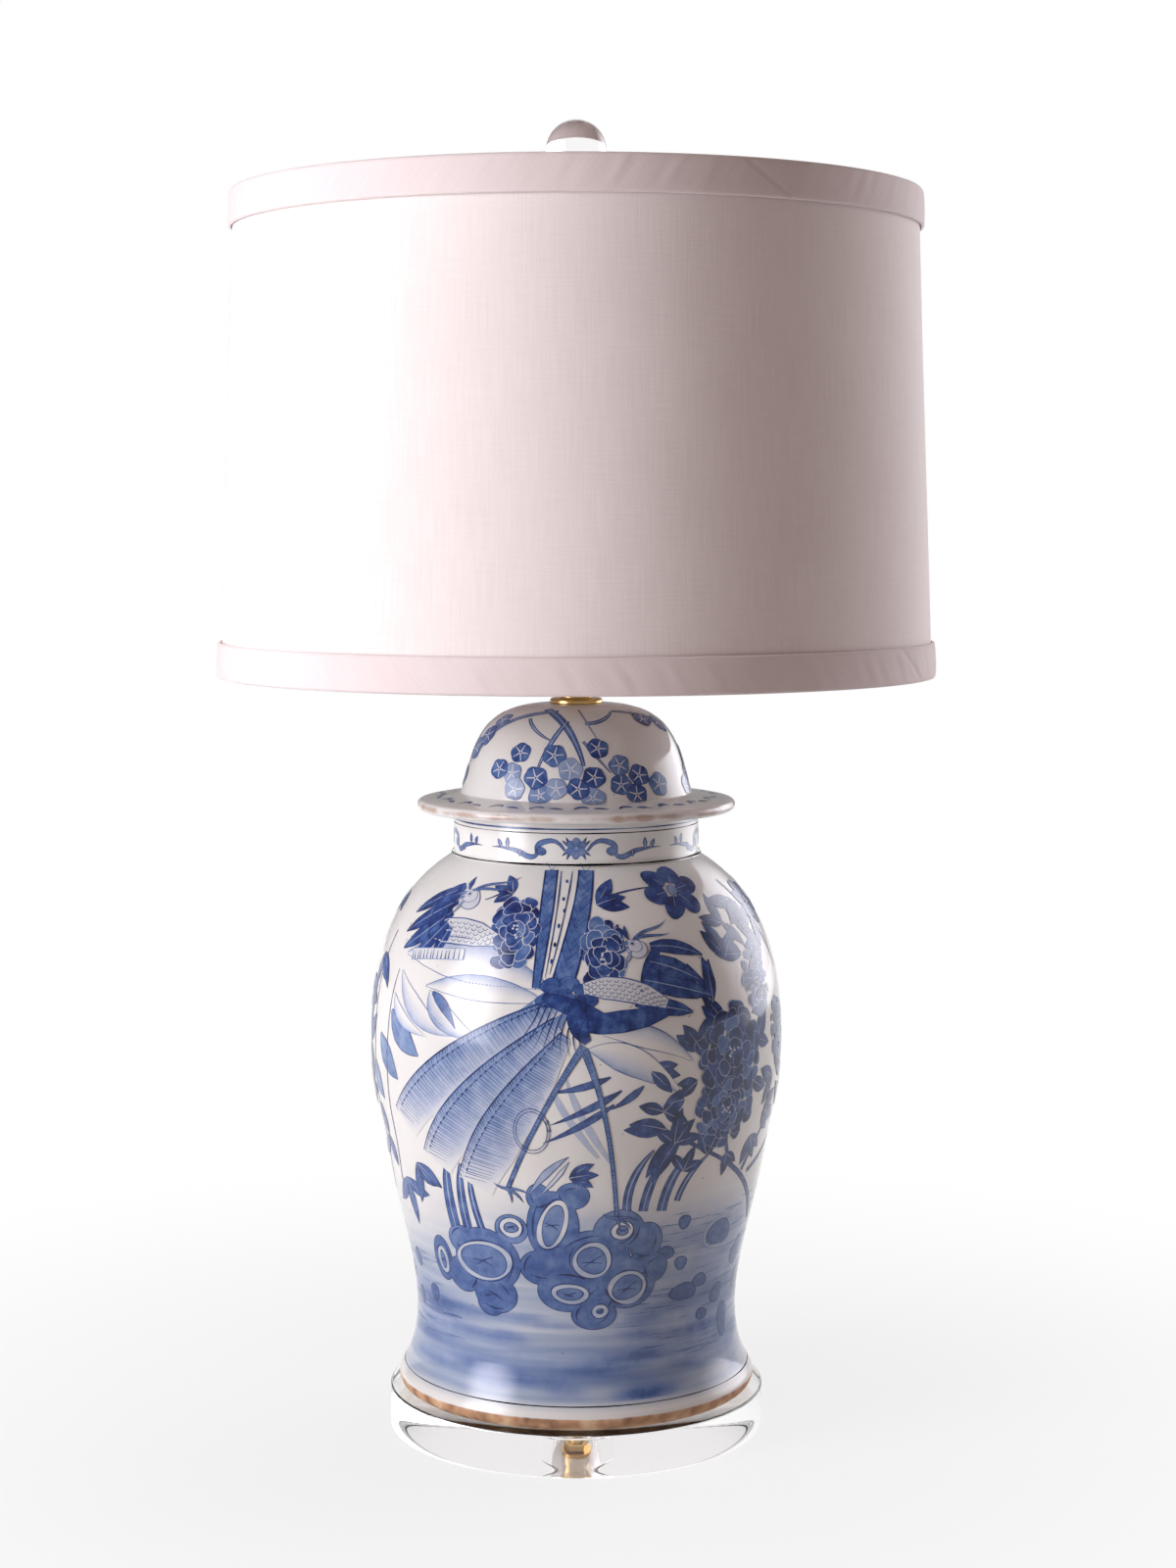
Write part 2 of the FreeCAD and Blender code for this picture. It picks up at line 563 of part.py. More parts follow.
def make_cap_and_neck():
    """Brass cap on the lid and the turned brass neck that carries the saddle."""
    rim, hub, top = "cap_diameter / 2", "cap_hub_diameter / 2", "cap_thickness + cap_hub_height"
    turned(new_body("vase_cap", CAP_SEAT), (CLOSE_BORE, "0"), (rim, "0"), (rim, "cap_thickness - cap_bevel"),
           (f"{rim} - cap_bevel", "cap_thickness"), (hub, "cap_thickness"), (hub, top), (CLOSE_BORE, top))
    end, waist, top = "spool_diameter / 2", "spool_waist / 2", "spool_height"
    turned(new_body("brass_neck", SPOOL_SEAT), (CLOSE_BORE, "0"), (end, "0"), (end, "spool_end"),
           (waist, "spool_end + spool_cove"), (waist, f"{top} - spool_end - spool_cove"),
           (end, f"{top} - spool_end"), (end, top), (CLOSE_BORE, top))


def make_saddle():
    """U-shaped strip over the neck; a post on each arm ends in half a lap for the harp's foot."""
    body = new_body("harp_saddle", SADDLE_SEAT)
    out, far = "(saddle_span / 2 + saddle_thickness / 2)", "(saddle_span / 2 - saddle_thickness / 2)"
    turn, inner_bend = f"({out} - saddle_bend)", "saddle_bend - saddle_thickness"
    strip = draw(new_sketch(body, "Strip"), (f"0 - {turn}", "0"), (turn, "0"), arc("saddle_bend"),
                 (out, "saddle_bend"), (out, "saddle_rise"), (far, "saddle_rise"), (far, "saddle_bend"),
                 arc(inner_bend, -1), (turn, "saddle_thickness"),
                 (f"0 - {turn}", "saddle_thickness"), arc(inner_bend, -1), (f"0 - {far}", "saddle_bend"),
                 (f"0 - {far}", "saddle_rise"), (f"0 - {out}", "saddle_rise"), (f"0 - {out}", "saddle_bend"),
                 arc("saddle_bend"))
    extruded(body, "Pad", strip, "saddle_width", both_ways=True)
    posts = new_sketch(body, "Posts", "XY_Plane", "saddle_rise - post_root")
    laps = new_sketch(body, "Laps", "XY_Plane", "saddle_rise + post_round")
    for sign in ("", "0 - "):
        circle(posts, (f"{sign}{POST_PLACE}", "0"), "post_diameter")
        near, beyond = f"{sign}({POST_PLACE} - lap_gap / 2)", f"{sign}({POST_PLACE} + post_diameter)"
        draw(laps, *box_corners(near, beyond, "0 - post_diameter", "post_diameter"))
    extruded(body, "Pad", posts, "post_root + post_round + lap_length - lap_clearance")
    extruded(body, "Pocket", laps, "lap_length", backwards=True)
    hole = circle(new_sketch(body, "Hole", "XY_Plane"), ("0", "0"), f"2 * {CLOSE_BORE}")
    extruded(body, "Pocket", hole, "saddle_thickness", backwards=True)


def make_harp():
    """Wire bow: each foot laps a post, the legs flare and round over to a flattened crown with a hole."""
    body = new_body("harp_bow", ARM_TOP)
    crown_level = "(harp_height - saddle_rise - seat_thickness - plate_thickness / 2)"
    corner_across = "(harp_width / 2 - wire_diameter / 2 - harp_crown)"
    corner_up = f"({crown_level} - harp_crown)"
    flare_across = f"({POST_PLACE} + harp_flare)"
    run, climb = f"({flare_across} - {corner_across})", f"({corner_up} - harp_leg)"
    lean = f"(atan2({climb}; {run}) - acos((harp_flare + harp_crown) / hypot({run}; {climb})))"
    foot_top = "(post_round + lap_length + foot_collar)"
    path = draw(new_sketch(body, "Path"), (POST_PLACE, foot_top), (POST_PLACE, "harp_leg"),
                arc("harp_flare", -1),
                (f"{flare_across} - harp_flare * cos({lean})", f"harp_leg + harp_flare * sin({lean})"),
                (f"{corner_across} + harp_crown * cos({lean})", f"{corner_up} - harp_crown * sin({lean})"),
                arc("harp_crown"), (corner_across, crown_level), closed=False)
    wire = swept(body, path, "End", "XY_Plane", (POST_PLACE, "0"), foot_top, "wire_diameter")
    foot = circle(new_sketch(body, "Foot", "XY_Plane", "post_round"), (POST_PLACE, "0"), "post_diameter")
    foot = extruded(body, "Pad", foot, "lap_length + foot_collar")
    lap = draw(new_sketch(body, "Lap", "XY_Plane", "post_round"),
               *box_corners(f"{POST_PLACE} - post_diameter", f"{POST_PLACE} + lap_gap / 2",
                            "0 - post_diameter", "post_diameter"))
    lap = extruded(body, "Pocket", lap, "lap_length", backwards=True)
    other_leg = body.newObject("PartDesign::Mirrored", "harp_bow_OtherLeg")
    other_leg.Originals = [wire, foot, lap]
    other_leg.MirrorPlane = (origin_item(body, "YZ_Plane"), [""])
    body.Tip = other_leg
    end, half = "(plate_length / 2 - plate_width / 2)", "plate_width / 2"
    plate_foot = f"{crown_level} - plate_thickness / 2"
    plate = draw(new_sketch(body, "Plate", "XY_Plane", plate_foot),
                 (f"0 - {end}", f"0 - {half}"), (end, f"0 - {half}"), arc(half), (f"{end} + {half}", "0"),
                 arc(half), (end, half), (f"0 - {end}", half), arc(half), (f"0 - {end} - {half}", "0"),
                 arc(half))
    extruded(body, "Pad", plate, "plate_thickness")
    rivet_hole = "rivet_diameter + 2 * rivet_gap"
    eye = circle(new_sketch(body, "Eye", "XY_Plane", plate_foot), ("0", "0"), rivet_hole)
    extruded(body, "Pocket", eye, "plate_thickness", backwards=True)


def make_stud():
    """Threaded stud with its seat, riveted through the harp's crown."""
    under_plate = "0 - seat_thickness - plate_thickness"
    shank, head, seat, stud = "rivet_diameter / 2", "rivet_head / 2", "seat_diameter / 2", "stud_diameter / 2"
    turned(new_body("harp_stud", SHADE_SEAT), ("0", f"{under_plate} - rivet_head_height"),
           (head, f"{under_plate} - rivet_head_height"), (head, under_plate), (shank, under_plate),
           (shank, "0 - seat_thickness"), (seat, "0 - seat_thickness"), (seat, "0"), (stud, "0"),
           (stud, "stud_height"), ("0", "stud_height"))


def make_ferrules():
    """A sleeve over each lap, standing on the saddle's arm."""
    bore, side, edge = "post_diameter / 2 + ferrule_gap", "ferrule_diameter / 2", "ferrule_edge"
    for label, sign in (("ferrule_left", "0 - "), ("ferrule_right", "")):
        body = new_body(label, ARM_TOP)
        tie(body, Placement__Base__x=f"{sign}{POST_PLACE}")
        turned(body, (bore, "0"), (f"{side} - {edge}", "0"), (side, edge), (side, f"ferrule_length - {edge}"),
               (f"{side} - {edge}", "ferrule_length"), (bore, "ferrule_length"))


def side_hole(body, role, level, diameter, reach, start="0"):
    """Drills towards the front, from the start to the reach, at a height over the body's foot."""
    hole = circle(new_sketch(body, role, "XZ_Plane", start), ("0", level), diameter)
    extruded(body, "Pocket", hole, f"{reach} - {start}", backwards=True)


def make_socket():
    """Cap with its set screw, shell, liner, switch body, screw shell and spring contact."""
    cap = new_body("socket_cap", SOCKET_SEAT)
    hub, side = "socket_hub_diameter / 2", "socket_cap_diameter / 2"
    bowl_top = "socket_cap_height - shell_overlap"
    turned(cap, (CLOSE_BORE, "0"), (hub, "0"), (hub, "socket_hub_height"), arc("socket_bowl"),
           (side, bowl_top), (side, "socket_cap_height"), (f"{side} - sheet_metal", "socket_cap_height"),
           (f"{side} - sheet_metal", bowl_top), arc("socket_bowl - sheet_metal", -1),
           (hub, "socket_hub_height + sheet_metal"), (CLOSE_BORE, "socket_hub_height + sheet_metal"))
    tapped = "set_screw_diameter + 2 * thread_gap"
    extruded(cap, "Pocket", circle(new_sketch(cap, "Tapped"), ("0", "set_screw_height"), tapped), hub)
    screw = primitive("Cylinder", "cap_set_screw", Radius="set_screw_diameter / 2",
                      Height=f"{hub} + set_screw_proud - {CLOSE_BORE}", Placement__Base__y=CLOSE_BORE,
                      Placement__Base__z=f"{SOCKET_SEAT} + set_screw_height")
    screw.Placement.Rotation = FreeCAD.Rotation(FreeCAD.Vector(1, 0, 0), -90)

    hole = "shaft_diameter + 2 * shaft_hole_gap"
    shell = new_body("socket_shell", SHELL_FOOT)
    bead = f"{SHELL_RADIUS} + shell_bead"
    turned(shell, (f"{SHELL_RADIUS} - sheet_metal", "0"), (SHELL_RADIUS, "0"),
           (SHELL_RADIUS, "shell_height - shell_bead_height - shell_bead"),
           (bead, "shell_height - shell_bead_height"), (bead, "shell_height"),
           (f"{SHELL_RADIUS} - sheet_metal", "shell_height"))
    side_hole(shell, "Hole", "shaft_height", hole, SHELL_RADIUS)
    liner = new_body("socket_liner", SHELL_FOOT)
    turned(liner, *box_corners(f"{LINER_RADIUS} - liner_thickness", LINER_RADIUS, "0",
                               "shell_height - liner_short"))
    side_hole(liner, "Hole", "shaft_height", hole, LINER_RADIUS)

    switch = new_body("switch_body", SHELL_FOOT)
    turned(switch, *box_corners("0", SWITCH_RADIUS, "0", "switch_height"))
    side_hole(switch, "Hole", "shaft_height", "shaft_diameter + 2 * shaft_gap", SWITCH_RADIUS,
              f"({SWITCH_RADIUS} - shaft_depth - shaft_gap)")
    inside = "(bulb_cap_diameter / 2 + bulb_thread_gap)"
    outside = f"({inside} + thread_shell_wall)"
    turned(new_body("screw_shell", SWITCH_TOP), ("thread_shell_eye / 2", "0"), (outside, "0"),
           (outside, "thread_shell_height"), (inside, "thread_shell_height"), (inside, "thread_shell_wall"),
           ("thread_shell_eye / 2", "thread_shell_wall"))
    primitive("Box", "spring_contact", Length="contact_length", Width="contact_width",
              Height="contact_thickness", Placement__Base__x="0 - contact_length / 2",
              Placement__Base__y="0 - contact_width / 2", Placement__Base__z=SWITCH_TOP)


def make_switch():
    """Switch shaft and its fluted turn knob, on an axis that points to the front."""
    shaft_end = f"(shaft_depth - {SWITCH_RADIUS})"
    knob_foot = f"({SHELL_RADIUS} + shaft_reach)"
    forward = FreeCAD.Rotation(FreeCAD.Vector(1, 0, 0), 90)
    shaft = primitive("Cylinder", "switch_shaft", Radius="shaft_diameter / 2",
                      Height=f"{knob_foot} + knob_socket + {shaft_end}", Placement__Base__y=shaft_end,
                      Placement__Base__z=SHAFT_LEVEL)
    shaft.Placement.Rotation = forward
    knob = new_body("switch_knob", SHAFT_LEVEL)
    knob.Placement.Rotation = forward
    tie(knob, Placement__Base__y=f"0 - {knob_foot}")
    bore, side = "shaft_diameter / 2 + knob_fit", "knob_diameter / 2"
    turned(knob, (bore, "0"), (side, "0"), (side, "knob_length - knob_round"), arc("knob_round"),
           (f"{side} - knob_round", "knob_length"), ("0", "knob_length"), ("0", "knob_socket + knob_fit"),
           (bore, "knob_socket + knob_fit"))
    flute = circle(new_sketch(knob, "Flute", "XY_Plane"), (side, "0"), "flute_diameter")
    patterned(knob, extruded(knob, "Pocket", flute, "knob_length", backwards=True), "knob_flutes")


def make_bulb():
    """Glass globe, screw cap and solder contact."""
    tip = "bulb_tip_height"
    turned(new_body("bulb_contact", BULB_TIP), ("0", "0"), (f"bulb_tip_diameter / 2 - {tip} / 2", "0"),
           ("bulb_tip_diameter / 2", f"{tip} / 2"), ("bulb_tip_diameter / 2", tip), ("0", tip))
    side, wall, top = "bulb_cap_diameter / 2", "bulb_cap_wall", f"({tip} + bulb_cap_length)"
    cone_foot, cone_top = "bulb_tip_diameter / 2", f"{tip} + bulb_cap_cone"
    turned(new_body("bulb_screw_cap", BULB_TIP), ("0", tip), (cone_foot, tip), (side, cone_top), (side, top),
           (f"{side} - {wall}", top), (f"{side} - {wall}", f"{cone_top} + {wall}"),
           (cone_foot, f"{tip} + {wall}"), ("0", f"{tip} + {wall}"))
    neck, globe, glass = "bulb_neck_diameter / 2", "bulb_diameter / 2", "bulb_glass"
    foot, straight = f"({top} - bulb_neck_depth)", f"({top} + bulb_neck_height)"
    middle = f"(bulb_length - {globe})"
    turned(new_body("bulb_globe", BULB_TIP), (f"{neck} - {glass}", foot), (neck, foot), (neck, straight),
           spline((neck, f"{straight} + bulb_neck_pull"), (globe, f"{middle} - bulb_globe_pull")),
           (globe, middle), arc(globe), ("0", "bulb_length"), ("0", f"bulb_length - {glass}"),
           arc(f"{globe} - {glass}", -1), (f"{globe} - {glass}", middle),
           spline((f"{globe} - {glass}", f"{middle} - bulb_globe_pull"),
                  (f"{neck} - {glass}", f"{straight} + bulb_neck_pull")), (f"{neck} - {glass}", straight))


def make_spider():
    """Washer on the stud with arms that run out flat and climb to the top ring."""
    body = new_body("spider", SHADE_SEAT)
    turned(body, *box_corners("stud_diameter / 2 + spider_hole_gap", "spider_washer / 2", "0",
                              "spider_thickness"))
    level = "spider_thickness / 2"
    ring_up = f"(spider_thickness + spider_drop - {RING_DROP})"
    slope = f"atan2({ring_up} - {level}; spider_rise_run)"
    elbow, ease = f"({TOP_RING_RADIUS} - spider_rise_run)", f"spider_bend * tan({slope} / 2)"
    start, short = "(spider_washer / 2 - spider_root)", "(ring_wire / 2 - weld_depth)"
    path = draw(new_sketch(body, "Path"), (start, level), (f"{elbow} - {ease}", level), arc("spider_bend"),
                (f"{elbow} + {ease} * cos({slope})", f"{level} + {ease} * sin({slope})"),
                (f"{TOP_RING_RADIUS} - {short} * cos({slope})", f"{ring_up} - {short} * sin({slope})"),
                closed=False)
    arm = swept(body, path, "End", "YZ_Plane", ("0", level), start, "spider_wire")
    patterned(body, arm, "spider_arms")


def make_shade():
    """Backed drum between two wire rings, and a turned-in bias trim over each edge."""
    rim, foot = SHADE_RIM, f"({SHADE_RIM} - shade_height)"
    for label, radius, level in (("top_ring", TOP_RING_RADIUS, f"{rim} - {RING_DROP}"),
                                 ("bottom_ring", BOTTOM_RING_RADIUS, f"{foot} + {RING_DROP}")):
        primitive("Torus", label, Radius1=radius, Radius2="ring_wire / 2", Placement__Base__z=level)
    top, bottom, wall = "shade_top_diameter / 2", "shade_bottom_diameter / 2", "shade_wall"
    lean, height = f"{EDGE_DROP} * {SHADE_SLOPE}", f"shade_height - 2 * {EDGE_DROP}"
    turned(new_body("shade_drum", f"{foot} + {EDGE_DROP}"), (f"{bottom} - {lean} - {wall}", "0"),
           (f"{bottom} - {lean}", "0"), (f"{top} + {lean}", height), (f"{top} + {lean} - {wall}", height))

    taper = f"trim_height * {SHADE_SLOPE}"
    inner = f"({TOP_RING_RADIUS} - {TURN_IN} - trim_cloth)"
    leg_foot = "trim_height - trim_turn_in"
    low, high = f"({top} + {taper})", top
    trim = new_body("top_trim", f"{rim} - trim_height")
    turned(trim, (inner, leg_foot), (f"{inner} + trim_cloth", leg_foot),
           (f"{inner} + trim_cloth", "trim_height - trim_cloth"),
           (f"{high} + trim_gap", "trim_height - trim_cloth"), (f"{low} + trim_gap", "0"),
           (f"{low} + trim_proud - trim_round", "0"), arc("trim_round"),
           (f"{low} + trim_proud", "trim_round"),
           (f"{high} + trim_proud", "trim_height - trim_round"), arc("trim_round"),
           (f"{high} + trim_proud - trim_round", "trim_height"), (f"{inner} + trim_fold", "trim_height"),
           arc("trim_fold"), (inner, "trim_height - trim_fold"))
    notch = draw(new_sketch(trim, "Notch", "XY_Plane"),
                 *box_corners(f"{inner} - trim_cloth", f"{inner} + trim_cloth + trim_gap",
                              "0 - trim_notch / 2", "trim_notch / 2"))
    notch = extruded(trim, "Pocket", notch, "trim_height - trim_cloth", backwards=True)
    patterned(trim, notch, "spider_arms")

    inner = f"({BOTTOM_RING_RADIUS} - {TURN_IN} - trim_cloth)"
    low, high = bottom, f"({bottom} - {taper})"
    turned(new_body("bottom_trim", foot), (f"{low} + trim_proud - trim_round", "0"), arc("trim_round"),
           (f"{low} + trim_proud", "trim_round"), (f"{high} + trim_proud", "trim_height - trim_round"),
           arc("trim_round"), (f"{high} + trim_proud - trim_round", "trim_height"),
           (f"{high} + trim_gap", "trim_height"), (f"{low} + trim_gap", "trim_cloth"),
           (f"{inner} + trim_cloth", "trim_cloth"), (f"{inner} + trim_cloth", "trim_turn_in"),
           (inner, "trim_turn_in"), (inner, "trim_fold"), arc("trim_fold"), (f"{inner} + trim_fold", "0"))


def make_finial():
    """Turned brass base that screws on the stud, and the clear ball on its stem."""
    bore, foot = "stud_diameter / 2 + finial_thread_gap", "finial_foot_diameter / 2"
    waist, dish, stem = "finial_waist_diameter / 2", "finial_dish_diameter / 2", "finial_stem_diameter / 2"
    dish_foot, stem_top = "finial_height - finial_dish_height", "finial_height + finial_stem_height"
    turned(new_body("finial_base", FINIAL_SEAT), (bore, "0"), (foot, "0"), (foot, "finial_foot_height"),
           arc("finial_cove", -1), (waist, "finial_foot_height + finial_cove_height"),
           (waist, f"{dish_foot} - finial_cove_height"), arc("finial_cove", -1), (dish, dish_foot),
           (dish, "finial_height"), (stem, "finial_height"), (stem, stem_top), ("0", stem_top),
           ("0", "finial_thread_depth"), (bore, "finial_thread_depth"))
    ball, hole = "(ball_diameter / 2)", f"{stem} + finial_stem_gap"
    middle = f"({ball} - ball_flat)"
    flat = f"sqrt({ball} ^ 2 - {middle} ^ 2)"
    hole_top = "finial_stem_height + finial_stem_gap"
    turned(new_body("finial_ball", BALL_SEAT), (hole, "0"), (flat, "0"), arc(ball), (ball, middle), arc(ball),
           ("0", f"{middle} + {ball}"), ("0", hole_top), (hole, hole_top))


make_base()
make_pipe()
make_grommet(make_jar())
make_lid()
make_cap_and_neck()
make_saddle()
make_harp()
make_stud()
make_ferrules()
make_socket()
make_switch()
make_bulb()
make_spider()
make_shade()
make_finial()
doc.recompute()

for thing in doc.Objects:
    assert not {"Invalid", "Error"} & set(thing.State), f"{thing.Name} failed: {thing.State}"
for piece in parts:
    assert not piece.Shape.isNull() and piece.Shape.isValid(), f"{piece.Label} has no valid shape"
os.makedirs("parts", exist_ok=True)
for piece in parts:
    piece.Shape.exportStep(f"parts/{piece.Label}.step")
    bounds = piece.Shape.BoundBox
    print(f"{piece.Label:16} {len(piece.Shape.Solids)} solid {piece.Shape.Volume / 1000:9.2f} cm3"
          f"  z {bounds.ZMin:7.2f} to {bounds.ZMax:7.2f}")
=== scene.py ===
# %% [markdown]
# # A porcelain ginger jar lamp
# The lamp is a lidded porcelain jar painted in cobalt blue under a clear glaze. It stands on a clear
# acrylic disc and wears a linen drum shade that a clear ball holds down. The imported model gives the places
# and the sizes. This lesson makes the surfaces that are seen: glaze, brushwork, cloth, acrylic and brass.

# %% Load the frame
import math

import bmesh
import bpy
import numpy as np
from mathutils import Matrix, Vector


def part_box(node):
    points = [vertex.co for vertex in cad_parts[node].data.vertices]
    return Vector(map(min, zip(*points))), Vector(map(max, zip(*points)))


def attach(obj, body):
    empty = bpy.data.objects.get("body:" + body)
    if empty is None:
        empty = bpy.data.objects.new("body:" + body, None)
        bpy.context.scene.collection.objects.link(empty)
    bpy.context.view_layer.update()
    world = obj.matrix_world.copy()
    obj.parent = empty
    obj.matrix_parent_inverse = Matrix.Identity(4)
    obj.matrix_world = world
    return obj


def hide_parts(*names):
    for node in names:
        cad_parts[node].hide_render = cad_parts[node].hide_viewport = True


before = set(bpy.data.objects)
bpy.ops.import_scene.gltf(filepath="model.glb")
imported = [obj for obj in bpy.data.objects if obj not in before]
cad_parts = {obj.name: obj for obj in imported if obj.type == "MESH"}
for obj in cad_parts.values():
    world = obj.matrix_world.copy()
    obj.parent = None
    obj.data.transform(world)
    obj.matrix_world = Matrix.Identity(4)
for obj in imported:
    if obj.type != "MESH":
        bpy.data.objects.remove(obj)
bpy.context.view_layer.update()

# %% [markdown]
# ## Working in millimetres
# A lamp is drawn in millimetres, and Blender works in metres. Every shape below is therefore worked out in
# millimetres and is scaled once, where its mesh is made. Colours are written as sRGB hex values, as a paint
# card would give them, and one function turns them into the linear values that Blender mixes light with.

# %% Units and colours
MM = 0.001
FULL_TURN = 2 * math.pi


def linear(hex_colour):
    """An sRGB hex colour as linear red, green, blue and alpha."""
    srgb = np.array([int(hex_colour[place:place + 2], 16) for place in (1, 3, 5)]) / 255
    return (*np.where(srgb <= 0.04045, srgb / 12.92, ((srgb + 0.055) / 1.055) ** 2.4).tolist(), 1.0)


print("a middle grey, #808080, is", round(linear("#808080")[0], 3), "in linear light")

# %% [markdown]
# ## One way to add a node
# A material is a small program of nodes. Only one helper is needed for all of them: it adds a node, sets
# the node's own options, and fills its sockets with values or with links. Reading the calls from top to
# bottom then reads like the recipe of the finish.

# %% Nodes and materials
def add_node(tree, kind, sockets=None, **options):
    """Adds a shader node; a socket is filled with a value, or is linked when it is given another socket."""
    node = tree.nodes.new("ShaderNode" + kind)
    for option, value in options.items():
        setattr(node, option, value)
    for socket, value in (sockets or {}).items():
        if isinstance(value, bpy.types.NodeSocket):
            tree.links.new(value, node.inputs[socket])
        else:
            node.inputs[socket].default_value = value
    return node


def new_finish(name, **values):
    """A material with its Principled shader; the values go on the shader's own sockets."""
    finish = bpy.data.materials.new(name)
    finish.use_nodes = True
    shader = finish.node_tree.nodes["Principled BSDF"]
    for socket, value in values.items():
        shader.inputs[socket.replace("_", " ")].default_value = value
    return finish, finish.node_tree, shader


def ramp_colours(node, stops):
    """Gives a Color Ramp its stops, each a place from 0 to 1 and a hex colour."""
    elements = node.color_ramp.elements
    while len(elements) < len(stops):
        elements.new(0.5)
    for element, (place, colour) in zip(elements, stops):
        element.position = place
        element.color = linear(colour)


print("helpers for finishes: add_node, new_finish, ramp_colours")

# %% [markdown]
# ## Surfaces from two parameters
# Almost every piece of a lamp is turned, bent or sewn from a strip, so each surface here is a grid of
# points: one parameter runs round the lamp and the other runs along a profile. Numpy works out the whole
# grid at once. Spinning a profile with the Screw modifier would do for plain shapes, but a grid also lets a
# surface wobble, gather or swell from place to place, as clay and cloth do.

# %% Grid to mesh
def grid_faces(rows, columns, wrap_rows=False, wrap_columns=False):
    """Corner numbers of every square of a grid, and the same corners' places on a unit map."""
    row, column = np.meshgrid(np.arange(rows - (not wrap_rows)), np.arange(columns - (not wrap_columns)),
                              indexing="ij")
    rise, run = np.array([0, 0, 1, 1]), np.array([0, 1, 1, 0])
    row, column = row[..., None] + rise, column[..., None] + run
    faces = (row % rows) * columns + column % columns
    spread = np.stack([column / (columns - (not wrap_columns)), row / (rows - (not wrap_rows))], -1)
    return faces.reshape(-1, 4), spread.reshape(-1, 2)


def around_axis(radius, turn, height):
    """Points round the lamp's axis: x = r cos t, y = r sin t, z."""
    return np.stack(np.broadcast_arrays(radius * np.cos(turn), radius * np.sin(turn), height), -1)


def make_piece(name, points, faces, finish, body, spread, crease):
    """Makes a mesh object of points in millimetres, smooth but for creases over that many degrees."""
    mesh = bpy.data.meshes.new(name)
    mesh.from_pydata((points.reshape(-1, 3) * MM).tolist(), [], [*map(tuple, faces)])
    if spread is not None:
        layer = mesh.uv_layers.new(name="Spread")
        layer.uv.foreach_set("vector", spread.astype(np.float32).ravel())
    mesh.materials.append(finish)
    mesh.shade_smooth()
    if crease:
        mesh.set_sharp_from_angle(angle=math.radians(crease))
    piece = bpy.data.objects.new(name, mesh)
    bpy.context.scene.collection.objects.link(piece)
    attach(piece, body)
    return piece


print("a turned grid of 96 by 12 has", len(grid_faces(12, 96, True, True)[0]), "squares")

# %% Turned profiles
def close_poles(piece):
    """Merges the points that meet on the axis or along a seam, so that the surface is closed."""
    soup = bmesh.new()
    soup.from_mesh(piece.data)
    bmesh.ops.remove_doubles(soup, verts=soup.verts, dist=1e-7)
    soup.to_mesh(piece.data)
    soup.free()


def turn_profile(name, profile, finish, body, around, crease):
    """Turns a closed loop of radius and height pairs round the lamp's axis, in this many steps."""
    radius, height = np.asarray(profile, float).T
    if np.sum(radius * np.roll(height, -1) - np.roll(radius, -1) * height) < 0:
        radius, height = radius[::-1], height[::-1]
    turn = np.linspace(0, FULL_TURN, around, endpoint=False)
    points = around_axis(radius[:, None], turn, height[:, None])
    faces, spread = grid_faces(len(radius), around, True, True)
    piece = make_piece(name, points, faces, finish, body, spread, crease)
    close_poles(piece)
    return piece


quarter = around_axis(10, math.pi / 2, 0)
print("a quarter turn takes a radius of 10 mm to", quarter.round(3).tolist())

# %% Rounded corners and splines
CORNER_STEPS = 6


def round_corners(corners, radii):
    """A closed profile whose corners are rounded: each corner is replaced by a quadratic curve between the
    two points that lie its radius away along its sides."""
    corners = np.asarray(corners, float)
    before, after = np.roll(corners, 1, 0), np.roll(corners, -1, 0)
    path = []
    for corner, last, following, radius in zip(corners, before, after, np.broadcast_to(radii, len(corners))):
        if not radius:
            path.append(corner[None])
            continue
        start = corner + (last - corner) * min(radius / np.linalg.norm(last - corner), 0.5)
        end = corner + (following - corner) * min(radius / np.linalg.norm(following - corner), 0.5)
        t = np.linspace(0, 1, CORNER_STEPS + 1)[:, None]
        path.append((1 - t) ** 2 * start + 2 * t * (1 - t) * corner + t ** 2 * end)
    return np.concatenate(path)


def spline_points(poles, count):
    """Points on the clamped cubic B-spline of these control points, its weights built up degree by degree."""
    poles = np.asarray(poles, float)
    spans = len(poles) - 3
    knots = np.concatenate([np.zeros(3), np.arange(spans + 1), np.full(3, spans)]).astype(float)
    t = np.linspace(0, spans, count).clip(0, spans - 1e-9)[:, None]
    weight = ((knots[:-1] <= t) & (t < knots[1:])).astype(float)
    for degree in (1, 2, 3):
        left, right = knots[:-degree - 1], knots[degree + 1:]
        rise = np.divide(t - left, knots[degree:-1] - left, out=np.zeros((count, len(left))),
                         where=knots[degree:-1] > left)
        fall = np.divide(right - t, right - knots[1:-degree], out=np.zeros((count, len(left))),
                         where=right > knots[1:-degree])
        weight = weight[:, :-1] * rise + weight[:, 1:] * fall
    return weight @ poles


def read_at(share, values):
    """Values spaced evenly from a line's start to its end, read at these shares of it."""
    values = np.atleast_1d(values)
    return np.interp(share, np.linspace(0, 1, len(values)), values)


square = round_corners([(0, 0), (4, 0), (4, 4), (0, 4)], [1])
print("a square with rounded corners has", len(square), "points")

# %% [markdown]
# ## Camera and studio
# The photograph was taken from a little above the middle of the jar, with the lamp on a white ground. A
# large soft lamp on the left gives the shade its bright side, a weaker one on the right lifts the far edge,
# and both show as long soft windows in the glaze. The ground and the world are white to the camera, to
# mirrors and to clear pieces, and dim to everything else, so white pieces still have shading.

